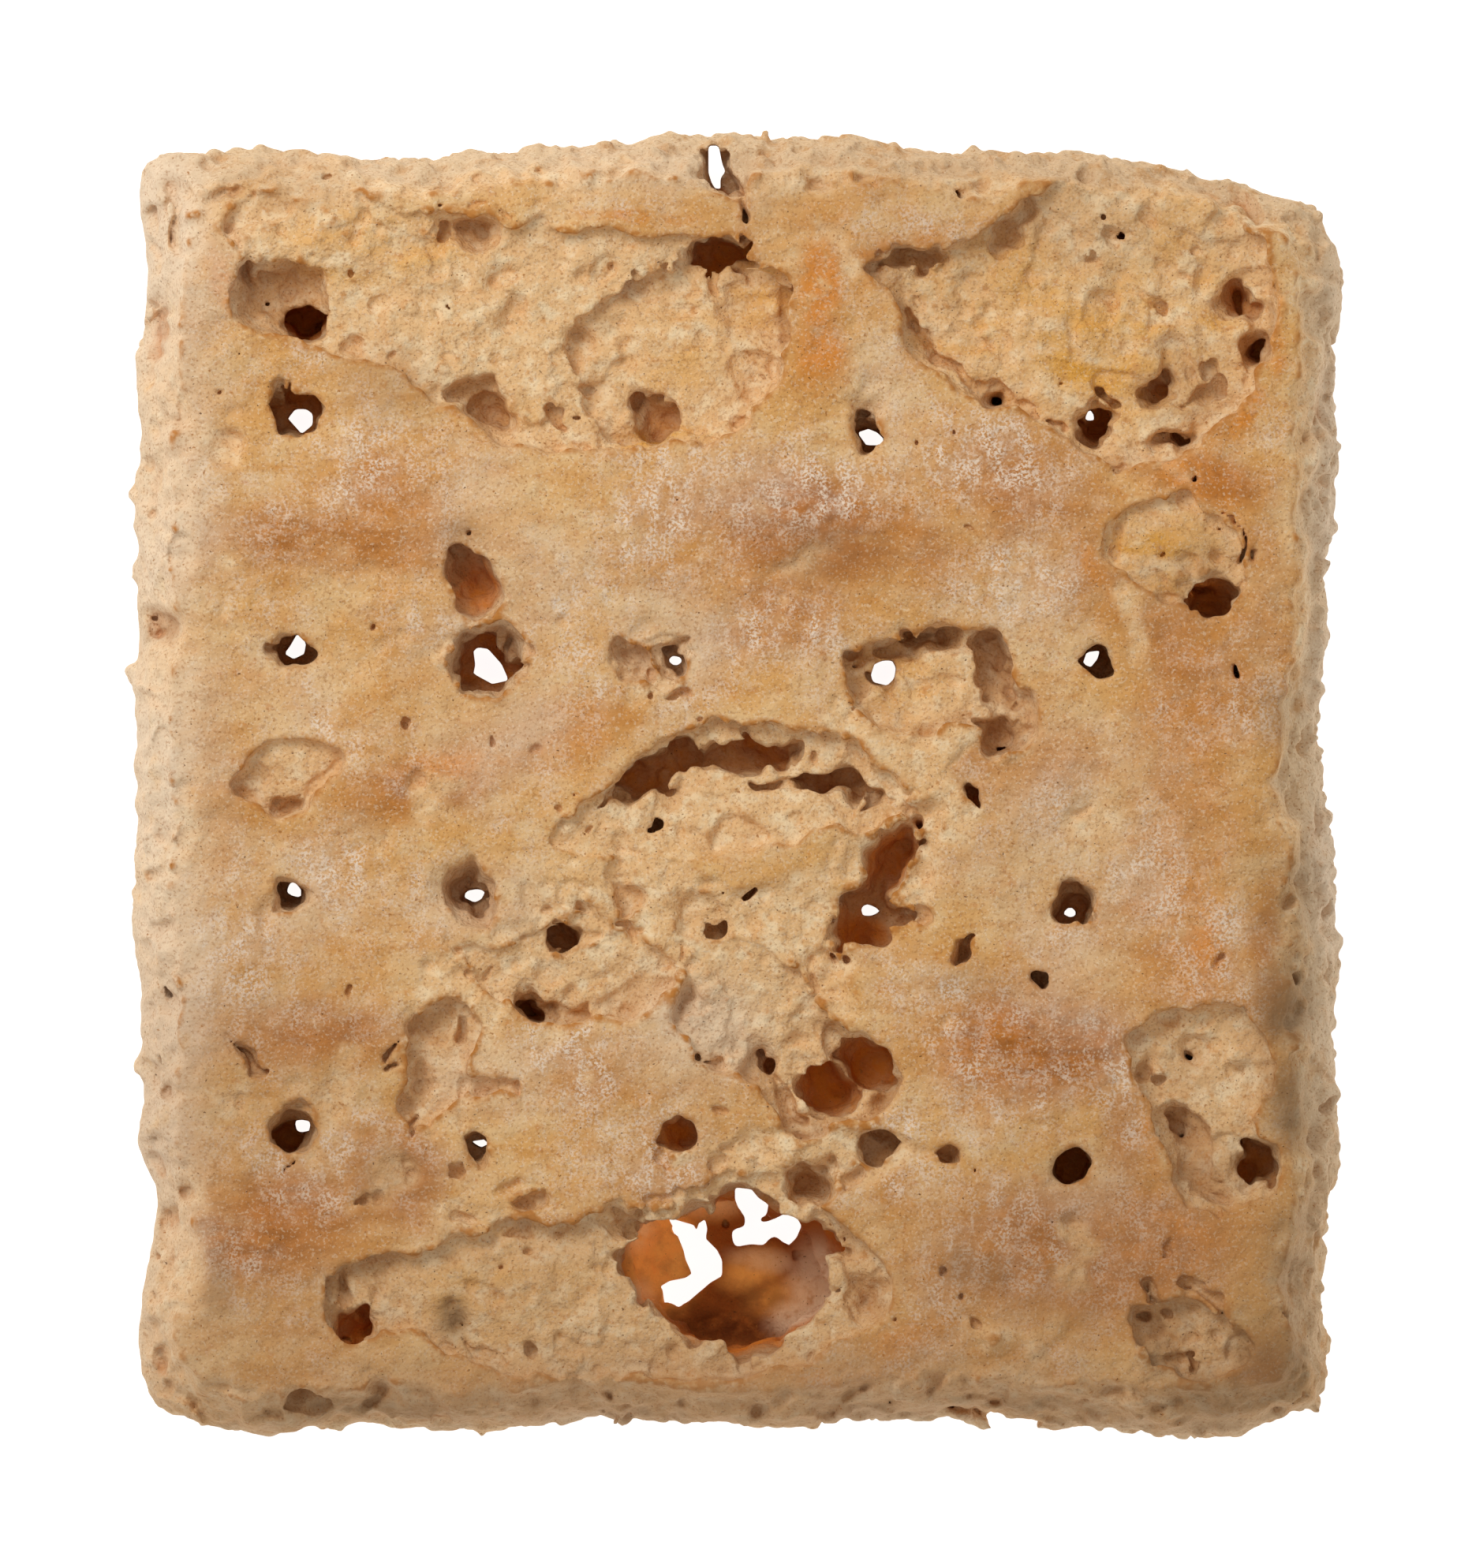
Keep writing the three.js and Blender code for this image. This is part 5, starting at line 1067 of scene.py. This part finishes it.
underside = smoothstep(points[:, 2], 0.5, 0.15)
crumb_here *= 1 - underside
crust_here = np.maximum(crust_here, underside)
inner = (1 - rim_here) * (1 - underside) * smoothstep(at_points(to_rim.astype(np.float32)), 0.8, 2.2)
toast = spots(TOASTED) * (0.95 + 0.12 * crust_noise) + 0.09 * broad_noise + 0.06 * crust_noise + 0.06
flour = spots(FLOURED) + 0.10 + 0.20 * crust_noise + 0.16 * fine_noise
skin = smoothstep(depth_here, 6.6, 8.6) * inner * np.clip(spots(BURST), 0, 1)
keep("crumb", crumb_here)
keep("rim", rim_here * (1 - underside))
keep("toast", toast * crust_here * (1 - 0.8 * rim_here))
keep("flour", flour * crust_here * (1 - 0.6 * rim_here) * (1 - 0.7 * np.clip(spots(AMBER), 0, 1)))
# Pale dough, and painted light down the right rim.
keep("pale_and_painted_light", spots(PALE_AND_PAINTED_LIGHT_SPOTS) * (0.9 + 0.25 * crust_noise))
keep("grey", spots(GREYED) * (0.9 + 0.15 * crust_noise + 0.10 * fine_noise) * on_top * (1 - 0.4 * rim_here))
keep("amber", spots(AMBER) * (0.85 + 0.3 * fine_noise) * on_top)
keep("yellow", spots(YELLOWED) * (0.8 + 0.3 * crust_noise) * crumb_here)
# Painted shade towards the near side and the lower right, on the upper parts only.
keep("painted_shade", spots(PAINTED_SHADE_SPOTS) * smoothstep(points[:, 2], 2.0, 8.0))
# Painted shade in the pits: darker the further a place lies below the lid over them.
keep("pit_shade", smoothstep(below_lid, 0.4, 2.6) * inner)
# Painted shade and a painted warm glow in the deepest pits, and on the floors of the pits listed above.
pit_floor_shade = spots(PIT_FLOOR_PAINTED_SHADE) * smoothstep(below_lid, 0.8, 2.5)
keep("deep_pit_shade", np.maximum(smoothstep(depth_here, 3.0, 6.5), 0.8 * pit_floor_shade) * inner)
# The thin skin under the largest bubble, then its painted light and its painted shadow.
keep("skin", skin)
keep("painted_light", skin * spots(PAINTED_LIGHT_SPOTS))
keep("painted_shadow", skin * spots(PAINTED_SHADOW_SPOTS))
keep("milky", skin * spots(MILKY))
keep("edge", smoothstep(filled_close, 0.42, 0.30) * smoothstep(depth_here, 0.9, 0.4) * inner)

# %% [markdown]
# ## A flat layout of the surface
#
# A copy of the biscuit whose colours are painted on a sheet needs every face laid out flat. One sheet of
# 128 mm takes the top at full size, the four flanks as strips, and at a smaller size the underside and the
# walls of the holes. The walls stand upright, so they are peeled outwards as they go down.

# %% Layout
SHEET = 128.0  # mm on a side
TOP_AT, UNDER_AT, WALLS_AT = (38.5, 40.5), (101, 76), (101, 25)  # the middle of each on the sheet, mm
STRIP_SCALE, SMALL_SCALE = 0.9, 0.6  # of the flanks, and of the underside and walls
STRIP_FOOT, STRIP_PITCH = 82.0, 11.4  # mm up the sheet to the first flank, and from one to the next
PEEL = 0.35  # mm outwards for each mm down

corner_places = points[quads]
face_middle = corner_places.mean(axis=1)
face_normal = np.cross(corner_places[:, 2] - corner_places[:, 0], corner_places[:, 3] - corner_places[:, 1])
face_normal /= np.linalg.norm(face_normal, axis=1, keepdims=True) + 1e-12
into_dough = np.stack([at_points(np.gradient(dough_near, axis=axis)) for axis in range(2)], axis=1)
into_dough /= np.linalg.norm(into_dough, axis=1, keepdims=True) + 0.01

cell = [np.clip(np.rint(face_middle[:, axis] / VOXEL - first[axis]).astype(int), 0, field.shape[axis] - 1)
        for axis in range(2)]
top_here = top_of(field)[cell[0], cell[1]]
on_the_top = (face_normal[:, 2] > 0.3) & (face_middle[:, 2] > top_here - 0.5)
on_the_underside = (face_normal[:, 2] < -0.3) & (face_middle[:, 2] < 0.6)
on_a_flank = (to_rim[cell[0], cell[1]] < 1.8) & ~on_the_top & ~on_the_underside
sideways = face_middle[:, :2] / cad_high[:2]
runs_along_y = np.abs(sideways[:, 0]) > np.abs(sideways[:, 1])
strip = np.where(runs_along_y, 0, 2) + (np.where(runs_along_y, sideways[:, 0], sideways[:, 1]) > 0)

peeled = points[:, :2] + into_dough * PEEL * np.clip(depth_here, 0, None)[:, None]
sheet_place = np.array(WALLS_AT) + SMALL_SCALE * peeled[quads]
for chosen, middle, scale in ((on_the_top, TOP_AT, 1.0), (on_the_underside, UNDER_AT, SMALL_SCALE)):
    sheet_place[chosen] = np.array(middle) + scale * corner_places[chosen][:, :, :2]
along = np.where(runs_along_y[:, None], corner_places[:, :, 1], corner_places[:, :, 0])
along = TOP_AT[1] + STRIP_SCALE * along
up = STRIP_FOOT + STRIP_PITCH * strip[:, None] + STRIP_SCALE * corner_places[:, :, 2]
sheet_place[on_a_flank] = np.stack([along, up], axis=-1)[on_a_flank]
sheet_map = mesh.uv_layers.new(name="OFBake")
sheet_map.uv.foreach_set("vector", (sheet_place / SHEET).astype(np.float32).ravel())
print("faces on top, underside, flanks:", on_the_top.sum(), on_the_underside.sum(), on_a_flank.sum())

# %% [markdown]
# ## Baked dough
#
# One material covers the biscuit, because crust and crumb are the same dough and blend into one another.
# Baked wheat dough is dull and rough, so light bounces about inside its holes and comes out warmer. Some
# layers
# are painted light and shade: painted shade in the pits and towards the near side and lower right, painted
# light down the right rim, and painted light, painted shadow and a painted glow on the thin skin under the
# largest bubble. Colours are laid over one another, from the crust up to the darkest bran, each through masks
# of its own that noise at its real grain breaks up: flour dust lies in specks of about a sixth of a
# millimetre, and the flecks of bran are as fine.

# %% Material helpers


def colour(code):
    """Turns an sRGB hex value such as #D3AC84 to the linear colour that a shader takes."""
    levels = (int(code[i:i + 2], 16) / 255 for i in (1, 3, 5))
    return (*((v / 12.92 if v <= 0.04045 else ((v + 0.055) / 1.055) ** 2.4) for v in levels), 1.0)


baked_dough = bpy.data.materials.new("baked_wheat_dough")
baked_dough.use_nodes = True
tree = baked_dough.node_tree
tree.nodes.clear()


def add(kind, settings=None, links=None):
    """Adds a node with its settings; links gives each input, by name or number, a value or an output."""
    node = tree.nodes.new("ShaderNode" + kind)
    for name, value in (settings or {}).items():
        setattr(node, name, value)
    for key, value in (links or {}).items():
        if isinstance(value, bpy.types.NodeSocket):
            tree.links.new(value, node.inputs[key])
        else:
            node.inputs[key].default_value = value
    return node


place = add("TexCoord").outputs["Object"]
# Flour lies in short strokes up and down, and the rolling pin drew the rest out from side to side.
dusted = add("Mapping", {}, {"Vector": place, "Scale": (1.0, 0.55, 1.0)}).outputs[0]
rolled = add("Mapping", {}, {"Vector": place, "Scale": (0.35, 1.0, 1.0)}).outputs[0]
here = {name: add("Attribute", {"attribute_name": name}).outputs["Fac"]
        for name in ("crumb", "rim", "pale_and_painted_light", "toast", "flour", "grey", "amber", "yellow", "painted_shade", "pit_shade",
                     "deep_pit_shade", "skin", "painted_light", "painted_shadow", "milky", "edge")}
SEED_STEP = 0.1  # m that each whole seed moves a noise along every axis
NOISE_SPREAD = 1.122  # the noise swings this many times as far from a half as the limits are given for


def grain(size_mm, low, high, detail=2.0, seed=0.0, vector=place):
    """A mask from noise with lumps of a real size: 0 where the noise is under low, and 1 over high."""
    moved = add("VectorMath", {"operation": "ADD"}, {0: vector, 1: (seed * SEED_STEP,) * 3}).outputs[0]
    noise = add("TexNoise", {}, {"Vector": moved, "Scale": 1 / (size_mm * MM), "Detail": detail})
    start, end = (0.5 + NOISE_SPREAD * (limit - 0.5) for limit in (low, high))
    limits = {"Value": noise.outputs["Fac"], "From Min": start, "From Max": end}
    return add("MapRange", {"interpolation_type": "SMOOTHSTEP"}, limits).outputs[0]


# %% Colours in layers
# Each layer is a colour and the masks and shares that multiply to say how much of it covers what lies below.
# The last of these colours is pale dough, and down the right rim painted light.
CRUST, CRUST_WARM, CRUST_PALE, CREAM_AND_PAINTED_LIGHT = "#DDA865", "#CE914A", "#E4BB83", "#E6CDAF"
# The third of these colours is painted shade.
TOAST, TOAST_DARK, PAINTED_SHADE, FLOUR = "#BC722E", "#945823", "#A4764C", "#F0DAC2"
GRAIN_DARK, GRAIN_PALE, FRECKLE = "#A0642E", "#F4DEBE", "#C8813A"
CRUMB, CRUMB_PALE, CRUMB_SHADE, YELLOW = "#E8BC86", "#F3D5A8", "#D09457", "#E3A446"
RIM, RIM_WARM, GREY, AMBER_SKIN, CRISP = "#DEBD93", "#D0A06A", "#80603F", "#DA8832", "#BC7A38"
# These three colours are painted shade in the pits, and the last two also a painted warm glow.
PIT_SHADE, DEEP_PIT_PAINTED_SHADE, DEEP_PIT_PAINTED_GLOW = "#96581C", "#CA7220", "#D47E24"
# The thin skin's colours: its brown made orange as painted light from below, a painted light, a painted
# shadow and a milky film.
UNDERSKIN_WITH_PAINTED_BACKLIGHT, UNDERSKIN_PAINTED_LIGHT, UNDERSKIN_PAINTED_SHADOW, FILM = "#B86C2C", "#EEA44A", "#7A4018", "#ECCAA4"
BRAN, BRAN_PALE = "#5E3A1C", "#A86C34"

flour_specks = grain(0.17, 0.43, 0.57, 2.0, 4.0)
layers = [
    (CRUST_PALE, [grain(2.4, 0.42, 0.62, 3.0)]),
    (CRUST_WARM, [grain(1.1, 0.46, 0.68, 3.0, 0.5, rolled), 0.6]),
    (TOAST, [here["toast"], grain(1.2, 0.00, 0.45, 4.0, 1.0, rolled)]),
    (TOAST_DARK, [here["toast"], here["toast"], grain(0.6, 0.36, 0.70, 3.0, 2.0, rolled), 0.8]),
    (AMBER_SKIN, [here["amber"], grain(0.8, 0.25, 0.55, 2.0, 3.0)]),
    (FRECKLE, [grain(0.6, 0.59, 0.70, 3.0, 3.5), 0.65]),
    (FLOUR, [here["flour"], grain(2.0, 0.35, 0.62, 3.0, 4.2), 0.16]),
    (FLOUR, [here["flour"], grain(0.9, 0.38, 0.60, 4.0, 4.5, dusted), flour_specks, 0.90]),
    (CRUMB, [here["crumb"]]),
    (CRUMB_PALE, [here["crumb"], grain(1.1, 0.46, 0.66, 4.0, 5.0)]),
    (YELLOW, [here["yellow"], grain(1.3, 0.36, 0.62, 4.0, 5.5, rolled)]),
    (CRUMB_SHADE, [here["crumb"], grain(0.7, 0.54, 0.76, 4.0, 6.0)]),
    (RIM, [here["rim"]]),
    (RIM_WARM, [here["rim"], grain(1.6, 0.50, 0.70, 3.0, 7.0)]),
    # Pale spots, and painted light down the right rim.
    (CREAM_AND_PAINTED_LIGHT, [here["pale_and_painted_light"], grain(1.4, 0.10, 0.50, 3.0, 0.8), 0.85]),
    (GRAIN_DARK, [grain(0.20, 0.52, 0.66, 2.0, 7.3), 0.42]),
    (GRAIN_PALE, [grain(0.18, 0.54, 0.66, 2.0, 7.6), 0.36]),
    (CRISP, [here["edge"], grain(0.5, 0.30, 0.60, 2.0, 8.0)]),
    # Painted shade towards the near side and the lower right.
    (PAINTED_SHADE, [here["painted_shade"], 0.58]),
    (GREY, [here["grey"], grain(0.7, 0.00, 0.45, 3.0, 8.5), 0.92]),
    # Painted shade in the pits.
    (PIT_SHADE, [here["pit_shade"], 0.44]),
    # Painted shade and a painted warm glow in the deepest pits.
    (DEEP_PIT_PAINTED_SHADE, [here["deep_pit_shade"], 0.90]),
    (DEEP_PIT_PAINTED_GLOW, [here["deep_pit_shade"], grain(0.9, 0.45, 0.62, 3.0, 8.6), 0.8]),
    # The thin skin under the largest bubble: its brown made orange as painted light from below, then painted
    # light, painted shadow and a milky film.
    (UNDERSKIN_WITH_PAINTED_BACKLIGHT, [here["skin"]]),
    (UNDERSKIN_PAINTED_LIGHT, [here["painted_light"], grain(0.9, 0.30, 0.60, 3.0, 8.8)]),
    (UNDERSKIN_PAINTED_SHADOW, [here["painted_shadow"], grain(0.9, 0.25, 0.60, 3.0, 9.3)]),
    (FILM, [here["milky"], grain(0.8, 0.20, 0.50, 3.0, 9.6)]),
    (BRAN_PALE, [grain(0.26, 0.68, 0.76, 1.0, 9.0), 0.8]),
    (BRAN, [grain(0.16, 0.77, 0.83, 0.0, 10.0), 0.8]),
]
surface = colour(CRUST)
for shade, masks in layers:
    mask = masks[0]
    for other in masks[1:]:
        mask = add("Math", {"operation": "MULTIPLY", "use_clamp": True}, {0: mask, 1: other}).outputs[0]
    surface = add("Mix", {"data_type": "RGBA"}, {0: mask, 6: surface, 7: colour(shade)}).outputs[2]
print("layers of colour:", len(layers))

# %% Grain and shader
# A painted glow on the thin skin, as if light from the sheet below came through it.
PAINTED_GLOW, PAINTED_GLOW_SHARE = "#F0A050", 0.22

# Crust is sandy at about 0.2 mm under its flour; crumb is rougher, at about 0.35 mm. The skin under the
# large bubbles gets a painted glow, an emission that stands for light from the sheet below coming through it.
crust_grain = add("TexNoise", {}, {"Vector": place, "Scale": 1 / (0.20 * MM), "Detail": 2.0})
crumb_grain = add("TexNoise", {}, {"Vector": place, "Scale": 1 / (0.36 * MM), "Detail": 4.0})
fine_bump = add("Bump", {}, {"Strength": 0.7, "Distance": 0.07 * MM, "Height": crust_grain.outputs["Fac"]})
roughened = add("Math", {"operation": "MULTIPLY_ADD"}, {0: here["crumb"], 1: 0.45, 2: 0.30}).outputs[0]
bump = add("Bump", {}, {"Strength": roughened, "Distance": 0.20 * MM, "Height": crumb_grain.outputs["Fac"],
                        "Normal": fine_bump.outputs[0]})
painted_glow = add("Math", {"operation": "MULTIPLY"}, {0: here["painted_light"], 1: PAINTED_GLOW_SHARE}).outputs[0]
shader = add("BsdfPrincipled", {}, {
    "Base Color": surface, "Roughness": 0.88, "IOR": 1.45, "Specular IOR Level": 0.25,
    "Emission Color": colour(PAINTED_GLOW), "Emission Strength": painted_glow, "Normal": bump.outputs[0],
})
add("OutputMaterial", {}, {"Surface": shader.outputs[0]})
mesh.materials.append(baked_dough)

# %% [markdown]
# ## Floor and light
#
# The floor is a pale sheet that glows a little, like a light table: the holes right through the biscuit
# then show white, and the flanks get light from below. A soft lamp close by at the far left gives the tears
# their thin shadows and fades towards the near right corner, and an even sky fills in the rest.

# %% Floor, lamp and sky
FLOOR_GLOW, FLOOR_GREY, FLOOR_ROUGHNESS = 0.92, 0.35, 0.9
FLOOR_HALF = 3.0  # m from the middle of the floor to each side
LAMP_PLACE = (-0.17, 0.19, 0.29)  # m
LAMP_SIZE, LAMP_POWER = 0.20, 0.70  # m across, and W
SKY_STRENGTH = 0.515

floor_mesh = bpy.data.meshes.new("floor")
floor_corners = [(x * FLOOR_HALF, y * FLOOR_HALF, 0) for x, y in ((-1, -1), (1, -1), (1, 1), (-1, 1))]
floor_mesh.from_pydata(floor_corners, [], [(0, 1, 2, 3)])
floor = bpy.data.objects.new("floor", floor_mesh)
bpy.context.scene.collection.objects.link(floor)
pale_sheet = bpy.data.materials.new("pale_lit_sheet")
pale_sheet.use_nodes = True
sheet_shader = pale_sheet.node_tree.nodes["Principled BSDF"]
sheet_shader.inputs["Base Color"].default_value = (FLOOR_GREY, FLOOR_GREY, FLOOR_GREY, 1)
sheet_shader.inputs["Roughness"].default_value = FLOOR_ROUGHNESS
sheet_shader.inputs["Emission Color"].default_value = (1, 1, 1, 1)
sheet_shader.inputs["Emission Strength"].default_value = FLOOR_GLOW
floor_mesh.materials.append(pale_sheet)

lamp_data = bpy.data.lights.new("window_lamp", "AREA")
lamp_data.shape = "DISK"
lamp_data.size = LAMP_SIZE
lamp_data.energy = LAMP_POWER
lamp = bpy.data.objects.new("window_lamp", lamp_data)
lamp.location = LAMP_PLACE
aim = Vector((0, 0, 0)) - lamp.location
lamp.rotation_euler = aim.to_track_quat("-Z", "Y").to_euler()
lamp.visible_camera = False
bpy.context.scene.collection.objects.link(lamp)

sky = bpy.data.worlds.new("even_sky")
sky.use_nodes = True
sky.node_tree.nodes["Background"].inputs["Color"].default_value = (1, 1, 1, 1)
sky.node_tree.nodes["Background"].inputs["Strength"].default_value = SKY_STRENGTH
bpy.context.scene.world = sky
